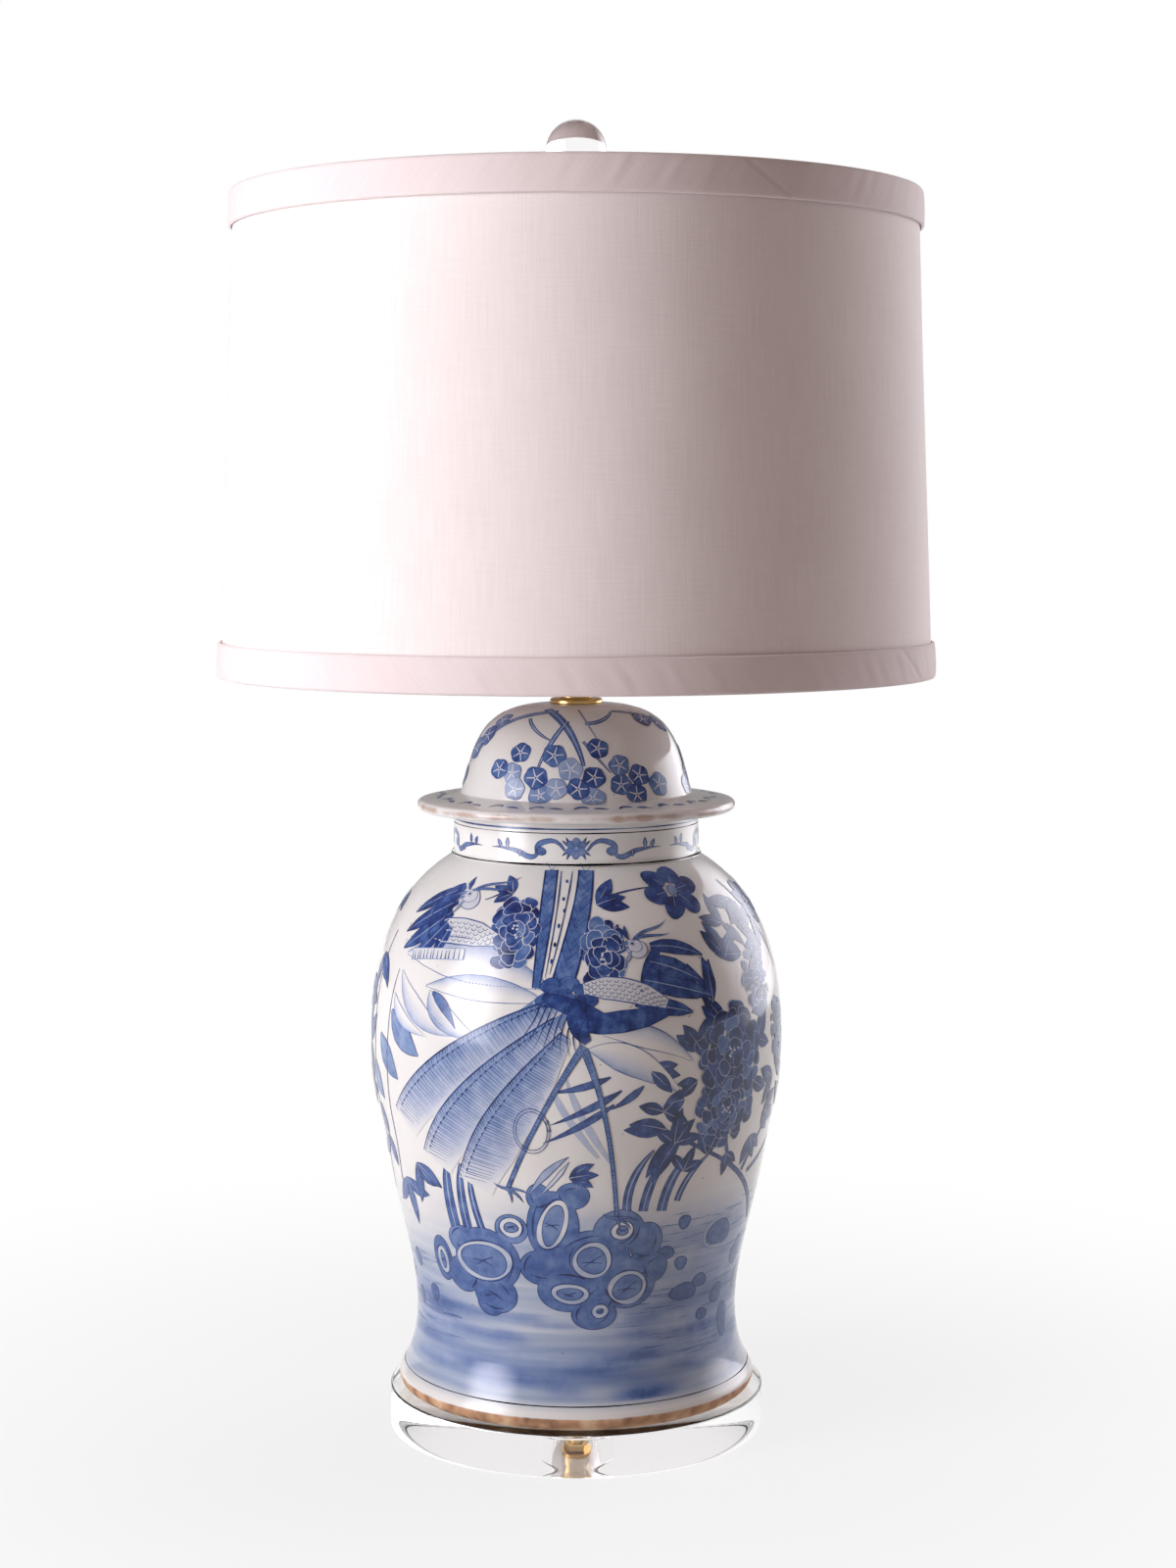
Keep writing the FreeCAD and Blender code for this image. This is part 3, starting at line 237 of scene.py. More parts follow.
# %% Camera
PHOTO_LONG_SIDE_PX = 1600
FOCAL_PX, SHIFT_PX = 2867, 12
SENSOR_MM = 36
CAMERA_PLACE, CAMERA_TILT_DOWN = (0, -1.696, 0.5542), 5.41
camera = bpy.data.objects.new("camera", bpy.data.cameras.new("camera"))
camera.data.sensor_width = SENSOR_MM
camera.data.lens = FOCAL_PX / PHOTO_LONG_SIDE_PX * SENSOR_MM
camera.data.shift_x = SHIFT_PX / PHOTO_LONG_SIDE_PX
camera.location = CAMERA_PLACE
camera.rotation_euler = (math.radians(90 - CAMERA_TILT_DOWN), 0, 0)
camera.data.clip_end = 50
bpy.context.scene.collection.objects.link(camera)
bpy.context.scene.camera = camera
bpy.context.scene.view_settings.view_transform = "Standard"
print("camera: a lens of", round(camera.data.lens, 1), "mm at", CAMERA_PLACE)

# %% Lamps
AIM = Vector((0, 0, 0.42))


def soft_lamp(name, azimuth, height, distance, size, watts, colour):
    """A rectangular area lamp that faces the jar; azimuth 0 is the camera's side and 90 is the right. Its
    cloth glows most in the middle and fades out towards the edge, so its reflections have no edges either."""
    lamp = bpy.data.lights.new(name, "AREA")
    lamp.shape = "RECTANGLE"
    lamp.size, lamp.size_y = size
    lamp.energy = watts
    lamp.color = linear(colour)[:3]
    holder = bpy.data.objects.new(name, lamp)
    bearing = math.radians(azimuth)
    holder.location = (distance * math.sin(bearing), -distance * math.cos(bearing), height)
    holder.rotation_euler = (AIM - holder.location).to_track_quat("-Z", "Y").to_euler()
    bpy.context.scene.collection.objects.link(holder)
    lamp.use_nodes = True
    tree = lamp.node_tree
    place = add_node(tree, "NewGeometry").outputs["Position"]
    on_lamp = add_node(tree, "Mapping", {"Vector": place, "Location": holder.location,
                                         "Rotation": holder.rotation_euler,
                                         "Scale": (size[0] / 2, size[1] / 2, 1)}, vector_type="TEXTURE")
    fade = add_node(tree, "TexGradient", {"Vector": on_lamp.outputs[0]}, gradient_type="SPHERICAL").outputs[1]
    glow = add_node(tree, "MapRange", {"Value": fade, "From Max": 0.8, "To Max": 3.4},
                    interpolation_type="SMOOTHSTEP")
    tree.links.new(glow.outputs[0], tree.nodes["Emission"].inputs["Strength"])


soft_lamp("window_left", -60, 0.8, 2.3, (2.0, 3.3), 64, "#fdfaff")
soft_lamp("window_right", 126, 0.9, 2.3, (3.6, 3.3), 48, "#f9f8ff")
print("lamps:", *bpy.data.lights.keys())

# %% Ground and world
WHITE = (1, 1, 1, 1)
GROUND_REACH, GROUND_DROP = 6000, 0.01

ground_finish, tree, shader = new_finish("painted_studio_floor", Roughness=0.7)
shader.inputs["Specular IOR Level"].default_value = 0.1
place = add_node(tree, "TexCoord").outputs["Object"]
dust = add_node(tree, "TexNoise", {"Vector": place, "Scale": 3.0}).outputs[0]
paint = add_node(tree, "ValToRGB", {0: dust})
ramp_colours(paint, [(0.3, "#d9d6d3"), (0.7, "#dddad8")])
tree.links.new(paint.outputs[0], shader.inputs["Base Color"])
rays = add_node(tree, "LightPath")
seen = add_node(tree, "Math", {0: rays.outputs["Is Camera Ray"], 1: rays.outputs["Is Glossy Ray"]},
                operation="ADD")
seen = add_node(tree, "Math", {0: seen.outputs[0], 1: rays.outputs["Is Transmission Ray"]},
                operation="ADD", use_clamp=True)
away = add_node(tree, "VectorMath", {0: place}, operation="LENGTH").outputs["Value"]
whiteness = add_node(tree, "MapRange", {"Value": away, "From Min": 0.1, "From Max": 0.75, "To Min": 0.8},
                     interpolation_type="SMOOTHSTEP")
share = add_node(tree, "Math", {0: seen.outputs[0], 1: whiteness.outputs[0]}, operation="MULTIPLY")
glow = add_node(tree, "Emission", {"Color": WHITE, "Strength": 1.0})
both = add_node(tree, "MixShader", {0: share.outputs[0], 1: shader.outputs[0], 2: glow.outputs[0]})
tree.links.new(both.outputs[0], tree.nodes["Material Output"].inputs["Surface"])

corners = np.array([[-1, -1, 0], [1, -1, 0], [1, 1, 0], [-1, 1, 0]]) * GROUND_REACH - [0, 0, GROUND_DROP]
ground_mesh = bpy.data.meshes.new("ground")
ground_mesh.from_pydata((corners * MM).tolist(), [], [(0, 1, 2, 3)])
ground_mesh.materials.append(ground_finish)
ground = bpy.data.objects.new("ground", ground_mesh)
bpy.context.scene.collection.objects.link(ground)

world = bpy.data.worlds.new("studio")
bpy.context.scene.world = world
world.use_nodes = True
tree = world.node_tree
rays = add_node(tree, "LightPath")
seen = add_node(tree, "Math", {0: rays.outputs["Is Camera Ray"], 1: rays.outputs["Is Transmission Ray"]},
                operation="ADD", use_clamp=True)
warm_fill = add_node(tree, "Background", {0: linear("#ffd3bf"), 1: 0.16})
mirrored = add_node(tree, "Background", {0: WHITE, 1: 0.3})
room = add_node(tree, "MixShader", {0: rays.outputs["Is Glossy Ray"], 1: warm_fill.outputs[0],
                                    2: mirrored.outputs[0]})
white = add_node(tree, "Background", {0: WHITE, 1: 1.0})
sky = add_node(tree, "MixShader", {0: seen.outputs[0], 1: room.outputs[0], 2: white.outputs[0]})
tree.links.new(sky.outputs[0], tree.nodes["World Output"].inputs["Surface"])
print("the ground is", 2 * GROUND_REACH * MM, "m wide, and the world is", world.name)

# %% [markdown]
# ## Porcelain under a clear glaze
# The jar is hard-paste porcelain: thrown, painted with cobalt, dipped in a clear glaze and fired once.
# Fired glaze is glass, so its IOR is 1.5 and it is very smooth, but it pools and ripples a little, which
# makes its reflections waver. The body under it is a warm grey white. The foot ring was wiped clean before
# firing, so the bare clay there is rough and has browned. All of that depends on height, so the finish
# reads Object coordinates: they are the lamp's own metres.

# %% Glaze
FOOT_BARE, LID_BARE = (33.0, 33.8), (0, 0.01)
EDGE_WANDER = 0.0008


def glazed(name, bare_from, bare_to):
    """Glaze over warm white porcelain, which turns to bare clay below two heights in millimetres. Gives the
    finish, its tree and shader, and the sockets of its place, height and colour."""
    finish, tree, shader = new_finish(name, IOR=1.5)
    place = add_node(tree, "TexCoord").outputs["Object"]
    height = add_node(tree, "SeparateXYZ", {0: place}).outputs["Z"]
    cloud = add_node(tree, "TexNoise", {"Vector": place, "Scale": 14.0, "Detail": 3.0}).outputs[0]
    body = add_node(tree, "ValToRGB", {0: cloud})
    ramp_colours(body, [(0.3, "#d6d6d3"), (0.7, "#e3e3e1")])
    specks = add_node(tree, "TexVoronoi", {"Vector": place, "Scale": 70.0})
    speck = add_node(tree, "MapRange", {"Value": specks.outputs["Distance"], "From Min": 0.03,
                                        "From Max": 0.05, "To Min": 0.55, "To Max": 0.0})
    speckled = add_node(tree, "Mix", {"Factor": speck.outputs[0], "A": body.outputs[0],
                                      "B": linear("#6d5a48")}, data_type="RGBA")
    grain = add_node(tree, "TexNoise", {"Vector": place, "Scale": 90.0, "Detail": 4.0}).outputs[0]
    clay = add_node(tree, "ValToRGB", {0: grain})
    ramp_colours(clay, [(0.3, "#7d5a42"), (0.5, "#b98e6b"), (0.75, "#d9bd9c")])
    edge = add_node(tree, "Math", {0: grain, 1: EDGE_WANDER, 2: height}, operation="MULTIPLY_ADD").outputs[0]
    bare = add_node(tree, "MapRange", {"Value": edge, "From Min": bare_from * MM + EDGE_WANDER / 2,
                                       "From Max": bare_to * MM + EDGE_WANDER / 2, "To Min": 1.0,
                                       "To Max": 0.0})
    colour = add_node(tree, "Mix", {"Factor": bare.outputs[0], "A": speckled.outputs["Result"],
                                    "B": clay.outputs[0]}, data_type="RGBA")
    rough = add_node(tree, "MapRange", {"Value": bare.outputs[0], "To Min": 0.09, "To Max": 0.75})
    ripple = add_node(tree, "TexNoise", {"Vector": place, "Scale": 28.0, "Detail": 2.0}).outputs[0]
    bump = add_node(tree, "Bump", {"Height": ripple, "Strength": 0.45, "Distance": 0.0012})
    tree.links.new(colour.outputs["Result"], shader.inputs["Base Color"])
    tree.links.new(rough.outputs[0], shader.inputs["Roughness"])
    tree.links.new(bump.outputs[0], shader.inputs["Normal"])
    return finish, tree, shader, place, height, colour.outputs["Result"]


print("bare clay shows below", FOOT_BARE[0], "mm on the jar")

# %% [markdown]
# ## The jar
# A potter throws the jar and turns its foot, so it is a surface of revolution that isn't quite true. Its
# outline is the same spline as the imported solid's, sampled much finer, and its radius then wanders by a few
# tenths of a millimetre. The back of the waist is drilled for the cord outlet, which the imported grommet
# fills.

# %% Jar outline
JAR_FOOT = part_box("jar_body")[0].z / MM
FOOT_RADIUS, FOOT_ROUND, FOOT_LEAN = 108.8, 7, math.radians(32)
SHOULDER_TOP, NECK_FOOT = (76.4, 325.6), 330
JAR_POLES = [(FOOT_RADIUS - FOOT_ROUND * (1 - math.cos(FOOT_LEAN)), FOOT_ROUND * (1 + math.sin(FOOT_LEAN))),
             (89.2, 39.8), (113.5, 125.9), (117, 162.3), (129.6, 199.5), (120.2, 299), SHOULDER_TOP]
JAR_WALL, NECK_RADIUS, NECK_WALL, JAR_HEIGHT = 6, 74, 7, 353.4
FLOOR_TOP, FLOOR_UNDER, FOOT_RING, PIPE_HOLE = 16, 8, 13, 6.1
JAR_AROUND, LID_AROUND = 400, 300

# The foot is an arc, the flank a spline and the neck a straight collar with rounded corners.
lean = np.linspace(-math.pi / 2, FOOT_LEAN, 9)
foot = np.stack([FOOT_RADIUS - FOOT_ROUND + FOOT_ROUND * np.cos(lean),
                 FOOT_ROUND + FOOT_ROUND * np.sin(lean)], 1)
flank = spline_points(JAR_POLES, 120)
neck = round_corners([SHOULDER_TOP, (74.4, 326.6), (NECK_RADIUS, NECK_FOOT), (NECK_RADIUS, JAR_HEIGHT),
                      (NECK_RADIUS - NECK_WALL, JAR_HEIGHT), (NECK_RADIUS - NECK_WALL, 322.6)],
                     [0, 1.5, 0, 1.2, 1.2, 0])
# The inside follows the flank, a wall's thickness in along its normal, from the neck down to the floor.
tangent = np.gradient(flank, axis=0)
inward = np.stack([-tangent[:, 1], tangent[:, 0]], 1) / np.linalg.norm(tangent, axis=1)[:, None]
inner = (flank + JAR_WALL * inward)[-6:14:-4]
under = np.array([(FOOT_RADIUS - FOOT_RING, FLOOR_TOP), (PIPE_HOLE, FLOOR_TOP), (PIPE_HOLE, FLOOR_UNDER),
                  (FOOT_RADIUS - FOOT_RING, FLOOR_UNDER), (FOOT_RADIUS - FOOT_RING, 1),
                  (FOOT_RADIUS - FOOT_RING + 1, 0)])
# The neck's side gets rows of its own, because the painted border lies on it.
neck_side = np.stack([np.full(20, NECK_RADIUS), np.linspace(NECK_FOOT + 1, JAR_HEIGHT - 2, 20)], 1)
split = np.argmax((neck[:, 1] > NECK_FOOT - 0.1) & (neck[:, 0] > NECK_RADIUS - 0.01)) + 1
outline = np.concatenate([foot[:-1], flank[:-1], neck[:split], neck_side, neck[split:], inner, under])
outline[:, 1] += JAR_FOOT
print("the jar's outline has", len(outline), "points and its widest radius is", round(outline[:, 0].max(), 1))

# %% The waver of a thrown pot
THROWN_DEPTH, THROWN_FROM, THROWN_TO = 0.35, JAR_FOOT + 10, JAR_FOOT + 324


def hand_thrown(piece):
    """Draws each point in by a slow wander of its angle and height, which fades out below and above."""
    count = len(piece.data.vertices)
    places = np.empty(count * 3, np.float32)
    piece.data.vertices.foreach_get("co", places)
    x, y, z = places.reshape(-1, 3).T.astype(float)
    turn, height, radius = np.arctan2(y, x), z / MM, np.hypot(x, y)
    wander = (np.sin(2 * turn + height / 61) + 0.6 * np.sin(3 * turn - height / 37 + 1.3)
              + 0.5 * np.sin(height / 9.5 + 0.7 * np.sin(turn)) * 0.6) / 2.1
    fade = np.clip((THROWN_TO - height) / 8, 0, 1) * np.clip((height - THROWN_FROM) / 8, 0, 1)
    grow = 1 - THROWN_DEPTH * MM * (0.5 + 0.5 * wander) * fade / np.maximum(radius, 1e-6)
    piece.data.vertices.foreach_set("co", np.stack([x * grow, y * grow, z], 1).astype(np.float32).ravel())
    piece.data.update()


print("a thrown surface wavers by up to", THROWN_DEPTH, "mm")

# %% Jar and its cord outlet
jar_glaze, tree, shader, place, height, colour = glazed("glazed_porcelain_jar", *FOOT_BARE)
jar = turn_profile("jar_glazed", outline, jar_glaze, "lamp", JAR_AROUND, 50)
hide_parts("jar_body")

OUTLET_HEIGHT, OUTLET_RADIUS, DRILL_SIDES = 70, 6.4, 40
turn = np.linspace(0, FULL_TURN, DRILL_SIDES, endpoint=False)
ring = np.stack([OUTLET_RADIUS * np.cos(turn), np.zeros(DRILL_SIDES),
                 OUTLET_HEIGHT + OUTLET_RADIUS * np.sin(turn)], 1)
drill_points = np.stack([ring + [0, depth, 0] for depth in (60, 130)])
middles = drill_points.mean(1)
faces, _ = grid_faces(2, DRILL_SIDES, False, True)
corner = np.arange(DRILL_SIDES)
following, hub = np.roll(corner, -1), 2 * DRILL_SIDES + 0 * corner
fans = [np.stack([hub, following, corner], 1),
        np.stack([hub + 1, DRILL_SIDES + corner, DRILL_SIDES + following], 1)]
drill_mesh = bpy.data.meshes.new("drill")
drill_mesh.from_pydata((np.concatenate([drill_points.reshape(-1, 3), middles]) * MM).tolist(), [],
                       faces.tolist() + np.concatenate(fans).tolist())
drill = bpy.data.objects.new("drill", drill_mesh)
bpy.context.scene.collection.objects.link(drill)
cut = jar.modifiers.new("outlet", "BOOLEAN")
cut.operation, cut.object, cut.solver = "DIFFERENCE", drill, "EXACT"
fresh = bpy.data.meshes.new_from_object(jar.evaluated_get(bpy.context.evaluated_depsgraph_get()))
jar.modifiers.clear()
jar.data = fresh
bpy.data.objects.remove(drill)
hand_thrown(jar)
print("jar:", len(jar.data.polygons), "faces")

# %% [markdown]
# ## Blue washes on the jar
# Before the glaze, the painter floated thin cobalt round the foot in bands, darker where the brush
# overlapped. Thin colour like this has no hard edge, so it belongs in the finish: noise that is squeezed in
# height gives the long bands, which fade out upward past the rocks.

# %% Washes
def foot_washes(tree, place, height, colour):
    """Multiplies a glaze by the thin blue bands that fade out upward from the foot."""
    banded = add_node(tree, "Mapping", {"Vector": place, "Scale": (4.0, 4.0, 60.0)})
    bands = add_node(tree, "TexNoise", {"Vector": banded.outputs[0], "Scale": 1.5, "Detail": 3.0}).outputs[0]
    strength = add_node(tree, "MapRange", {"Value": bands, "From Min": 0.25, "From Max": 0.75,
                                           "To Min": 0.1, "To Max": 0.68})
    low = add_node(tree, "MapRange", {"Value": height, "From Min": 0.0365, "From Max": 0.044}).outputs[0]
    wander = add_node(tree, "TexNoise", {"Vector": place, "Scale": 9.0}).outputs[0]
    uneven = add_node(tree, "Math", {0: wander, 1: 0.06, 2: height}, operation="MULTIPLY_ADD").outputs[0]
    high = add_node(tree, "MapRange", {"Value": uneven, "From Min": 0.125, "From Max": 0.205, "To Min": 1.0,
                                       "To Max": 0.0}, interpolation_type="SMOOTHSTEP").outputs[0]
    extent = add_node(tree, "Math", {0: low, 1: high}, operation="MULTIPLY")
    wash = add_node(tree, "Math", {0: strength.outputs[0], 1: extent.outputs[0]}, operation="MULTIPLY")
    thin = add_node(tree, "ValToRGB", {0: wash.outputs[0]})
    ramp_colours(thin, [(0.0, "#ffffff"), (0.3, "#c3cfe4"), (0.5, "#9db0d3"), (0.7, "#7e97c4")])
    washed = add_node(tree, "Mix", {"Factor": 1.0, "A": colour, "B": thin.outputs[0]}, data_type="RGBA",
                      blend_type="MULTIPLY")
    return washed.outputs["Result"]


tree.links.new(foot_washes(tree, place, height, colour), shader.inputs["Base Color"])
print("washed:", jar_glaze.name)

# %% [markdown]
# ## The lid
# The lid is thrown upside down: a wide thin flange, a dome with a flat crown, and a collar below that keeps
# it centred in the neck. The rim of the flange is unglazed too and shows a thin greyish brown line.

# %% Lid
LID_SEAT = JAR_FOOT + JAR_HEIGHT
LID_HEIGHT, CROWN_UNDER, RIM_MIDDLE, RIM_HALF = 64.2, 58.2, 93.05, 3.24
COLLAR_INSIDE, COLLAR_OUTSIDE, COLLAR_DEPTH = 59.8, 64.8, 14
# The rim is half a circle, the flange's top a straight slope, and the dome a spline inside and outside.
dome = spline_points([(70.1, 10.6), (63.7, 31.5), (64.3, 35.5), (47.2, LID_HEIGHT), (16, LID_HEIGHT)], 70)
inside = spline_points([(16, CROWN_UNDER), (41.2, CROWN_UNDER), (58.3, 32.5), (57.7, 28.5),
                        (COLLAR_INSIDE, 10.6)], 20)
rim_turn = np.linspace(-math.pi / 2, math.pi / 2, 15)
rim = np.stack([RIM_MIDDLE + RIM_HALF * np.cos(rim_turn), RIM_HALF + 0.01 + RIM_HALF * np.sin(rim_turn)], 1)
slope = np.stack([np.linspace(92.0, 71.5, 14), np.linspace(6.75, 10.1, 14)], 1)
lid_outline = np.concatenate([[(COLLAR_OUTSIDE, 0), (78, 0.05)], rim, slope, dome,
                              [(PIPE_HOLE, LID_HEIGHT), (PIPE_HOLE, CROWN_UNDER)], inside,
                              [(COLLAR_INSIDE, -COLLAR_DEPTH), (COLLAR_OUTSIDE, -COLLAR_DEPTH)]])
lid_outline[:, 1] += LID_SEAT
lid_glaze, tree, shader, place, _, colour = glazed("glazed_porcelain_lid", *LID_BARE)
lid = turn_profile("lid_glazed", lid_outline, lid_glaze, "lamp", LID_AROUND, 50)
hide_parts("jar_lid")

across = add_node(tree, "SeparateXYZ", {0: place})
# The bare line is where the distance from the axis, a little uneven, passes the start of the rim.
reach = add_node(tree, "CombineXYZ", {0: across.outputs["X"], 1: across.outputs["Y"]})
reach = add_node(tree, "VectorMath", {0: reach.outputs[0]}, operation="LENGTH").outputs["Value"]
worn = add_node(tree, "TexNoise", {"Vector": place, "Scale": 60.0}).outputs[0]
worn = add_node(tree, "Math", {0: worn, 1: 0.003, 2: reach}, operation="MULTIPLY_ADD").outputs[0]
rim_bare = add_node(tree, "MapRange", {"Value": worn, "From Min": 0.0973, "From Max": 0.0980})
rim_colour = add_node(tree, "Mix", {"Factor": rim_bare.outputs[0], "A": colour, "B": linear("#b39d90")},
                      data_type="RGBA")
tree.links.new(rim_colour.outputs["Result"], shader.inputs["Base Color"])
print("lid:", len(lid.data.polygons), "faces")

# %% [markdown]
# ## Brushwork in cobalt
# The painter worked with a loaded brush on the raw jar: dark outlines, paler fills, hatching and washes. An
# image could be wrapped round the jar, but paint as geometry stays sharp from any distance and is made of
# the same few gestures that the painter used. So every stroke here is a thin patch that follows the jar,
# lifted by a tenth of a millimetre, and later strokes lie a little higher than the ones they cover. A
# number on each point, its tone, says how much cobalt is there: 0 is bare glaze and 1 is the darkest blue.

# %% The painter's surface
class Painting:
    """Patches of paint on one turned outline. A place is an angle in degrees from the lamp's front, positive
    to the right, and a height; along the outline that height is a reach s, so the point is
    (r sin t, -r cos t, z) at s, moved along the outline's own normal by the lift. Every patch lies a little
    higher than the last, so that no two share a surface."""
    LIFT, LAYER, PATCH_STEP, PATCH_STEPS, BAND_STEPS = 0.1, 0.025, 0.0004, 40, 300

    def __init__(self, outline):
        self.radius, self.height = outline.T
        self.reach = np.concatenate([[0], np.cumsum(np.hypot(*np.diff(outline, axis=0).T))])
        slope = np.gradient(outline, self.reach, axis=0)
        self.normal = np.stack([slope[:, 1], -slope[:, 0]], 1)
        self.patches, self.level, self.facing = [], 0, (1, 0)

    def near(self, place, offsets):
        """Places that lie these millimetres to the right of a place and up along the outline from it."""
        offsets = np.asarray(offsets, float)
        reach = np.interp(place[1], self.height, self.reach) + offsets[..., 1]
        turn = place[0] + np.degrees(offsets[..., 0] / np.interp(reach, self.reach, self.radius))
        return np.stack([turn, np.interp(reach, self.reach, self.height)], -1)

    def add(self, turn, reach, tone, quads, triangles=None, layer=0):
        """Keeps one patch, with its faces turned outward on a plain and on a mirrored painting."""
        mirror, shift = self.facing
        step = (self.LIFT + self.LAYER * (self.level + layer)
                + self.PATCH_STEP * (len(self.patches) % self.PATCH_STEPS))
        quads, triangles = np.asarray(quads), np.zeros((0, 3), int) if triangles is None else triangles
        a, b, c = np.stack([turn.ravel() * 100, reach.ravel()], 1)[quads[:, :3].T]
        if mirror * np.cross(b - a, c - a).sum() < 0:
            quads, triangles = quads[:, ::-1], triangles[:, ::-1]
        self.patches.append((shift + mirror * turn.ravel(), reach.ravel(), np.full(turn.size, step),
                             np.broadcast_to(tone, turn.shape).ravel(), quads, triangles))

    def smooth(self, path, spacing=2.2, least=4):
        """A smooth line drawn towards the path's places: its turns, reaches, radii, sideways directions and
        shares."""
        path = np.asarray(path, float)
        line = np.stack([np.radians(path[:, 0]), np.interp(path[:, 1], self.height, self.reach)], 1)
        if len(line) == 2:
            line = line[0] + (line[1] - line[0]) * np.linspace(0, 1, 4)[:, None]
        elif len(line) == 3:
            line = np.stack([line[0], line[0] / 3 + line[1] * 2 / 3, line[1] * 2 / 3 + line[2] / 3, line[2]])
        radius = np.interp(line[:, 1], self.reach, self.radius)
        run = np.hypot(np.diff(line[:, 0]) * radius[1:], np.diff(line[:, 1])).sum()
        count = max(least, int(run / spacing) + 2)
        turn, reach = spline_points(line, count).T
        radius = np.interp(reach, self.reach, self.radius)
        along, up = np.gradient(turn) * radius, np.gradient(reach)
        size = np.maximum(np.hypot(along, up), 1e-9)
        return turn, reach, radius, -up / size, along / size, np.linspace(0, 1, count)

    def beside(self, line, out):
        """Places that lie these sideways distances, in millimetres, from a smooth line."""
        turn, reach, radius, side, rise = line[:5]
        return np.stack([np.degrees(turn + out * side / radius),
                         np.interp(reach + out * rise, self.reach, self.height)], -1)

    def stroke(self, path, width, tone, rim=None, rim_width=0.45, layer=0):
        """Sweeps a brush along a smooth line; width and tone may be lists from its start to its end, and a
        rim is the darker or paler line that a full brush leaves at both sides."""
        turn, reach, radius, side, rise, share = self.smooth(path)
        width, fill = read_at(share, width)[:, None], read_at(share, tone)[:, None]
        if rim is None:
            across = np.array([[-1, 0, 1.0]]) + 0 * width
            tone = fill + 0 * across
        else:
            inner = np.clip(1 - 2 * rim_width / np.maximum(width, 1e-6), 0.25, 0.95)
            across = np.concatenate([-1 + 0 * inner, -inner, 0.05 - inner, 0 * inner, inner - 0.05, inner,
                                     1 + 0 * inner], 1)
            rimmed = np.array([[1, 1, 0, 0, 0, 1, 1]])
            tone = rim * rimmed + fill * (1 - rimmed)
        shift = across * width / 2
        faces, _ = grid_faces(*across.shape)
        self.add(turn[:, None] + shift * (side / radius)[:, None], reach[:, None] + shift * rise[:, None],
                 tone, faces, layer=layer)

    def dab(self, place, size, tone, rim=None, tilt=0, lobes=0, depth=0.0, wobble=0.05, rim_width=0.5,
            layer=0):
        """One round touch of the brush: an ellipse whose radius dips by the depth between its lobes, and that
        wobbles a little; its tone goes from the fill to the rim in the last half millimetre."""
        wide, tall = np.broadcast_to(size, 2)
        mean = (wide + tall) / 2
        count = int(np.clip(mean * FULL_TURN / 1.8, 10, 56))
        angle = np.linspace(0, FULL_TURN, count, endpoint=False)
        phase = hand.uniform(0, FULL_TURN, 3)
        swell = 1 - depth * (1 - np.abs(np.sin(lobes * angle / 2 + phase[0] * (lobes > 0)))) if lobes else 1
        swell = swell + wobble * (np.sin(2 * angle + phase[1]) + 0.7 * np.sin(3 * angle + phase[2]))
        edge = max(1 - rim_width / mean, 0.4)
        steps = np.linspace(0, edge, max(int(mean / 2.4) + 2, 3))[1:]
        rings = np.concatenate([steps, [edge + 0.03, 1]]) if rim is not None else np.append(steps, 1)
        fill = np.full(len(rings), float(tone))
        if rim is not None:
            fill[-2:] = rim
        lean = math.radians(tilt)
        flat = np.stack([wide * swell * np.cos(angle), tall * swell * np.sin(angle)], -1)
        flat = flat @ np.array([[math.cos(lean), math.sin(lean)], [-math.sin(lean), math.cos(lean)]])
        offsets = np.concatenate([[[0, 0]], (rings[:, None, None] * flat).reshape(-1, 2)])
        reach = np.interp(place[1], self.height, self.reach) + offsets[:, 1]
        turn = math.radians(place[0]) + offsets[:, 0] / np.interp(reach, self.reach, self.radius)
        faces, _ = grid_faces(len(rings), count, False, True)
        following = (np.arange(count) + 1) % count
        fan = np.stack([np.zeros(count, int), np.arange(count) + 1, following + 1], 1)
        self.add(turn, reach, np.concatenate([[tone], np.repeat(fill, count)]), faces[:, ::-1] + 1, fan,
                 layer=layer)

    def hatch(self, path, reach_from, reach_to, count, width, tone, lean=0.0, layer=0):
        """Thin lines across a smooth line, each from one sideways distance to another, in millimetres; they
        may lean back along the line."""
        turn, reach, radius, side, rise, share = self.smooth(path, 1.0, 8)
        at = np.sort(np.linspace(0.01, 0.99, count) + hand.uniform(-0.25, 0.25, count) / count)
        turn, reach, radius, side, rise = (np.interp(at, share, values)[:, None, None]
                                           for values in (turn, reach, radius, side, rise))
        start, stop = read_at(at, reach_from), read_at(at, reach_to)
        stop = start + (stop - start) * hand.uniform(0.82, 1.06, count)
        t = np.linspace(0, 1, 9)
        out = start[:, None, None] + (stop - start)[:, None, None] * t[:, None]
        along = out * lean + np.array([-1, 1]) * width / 2 * (1 - 0.7 * t[:, None])
        faces, _ = grid_faces(len(t), 2)
        faces = (faces[None] + 2 * len(t) * np.arange(count)[:, None, None]).reshape(-1, 4)
        self.add(turn + (out * side + along * rise) / radius, reach + out * rise - along * side, tone, faces,
                 layer=layer)

    def wash(self, path, reach_from, reach_to, across, along=(1, 1), layer=0):
        """Thin colour between two sideways distances from a smooth line; its tone is the product of a tone
        across and a share along."""
        turn, reach, radius, side, rise, share = self.smooth(path, 2.2, 8)
        start, stop = read_at(share, reach_from), read_at(share, reach_to)
        columns = max(int(np.abs(stop - start).max() / 2.2) + 2, 6)
        t = np.linspace(0, 1, columns)
        out = start[:, None] + (stop - start)[:, None] * t
        tone = read_at(t, across) * read_at(share, along)[:, None]
        faces, _ = grid_faces(*out.shape)
        self.add(turn[:, None] + out * (side / radius)[:, None], reach[:, None] + out * rise[:, None],
                 tone, faces, layer=layer)

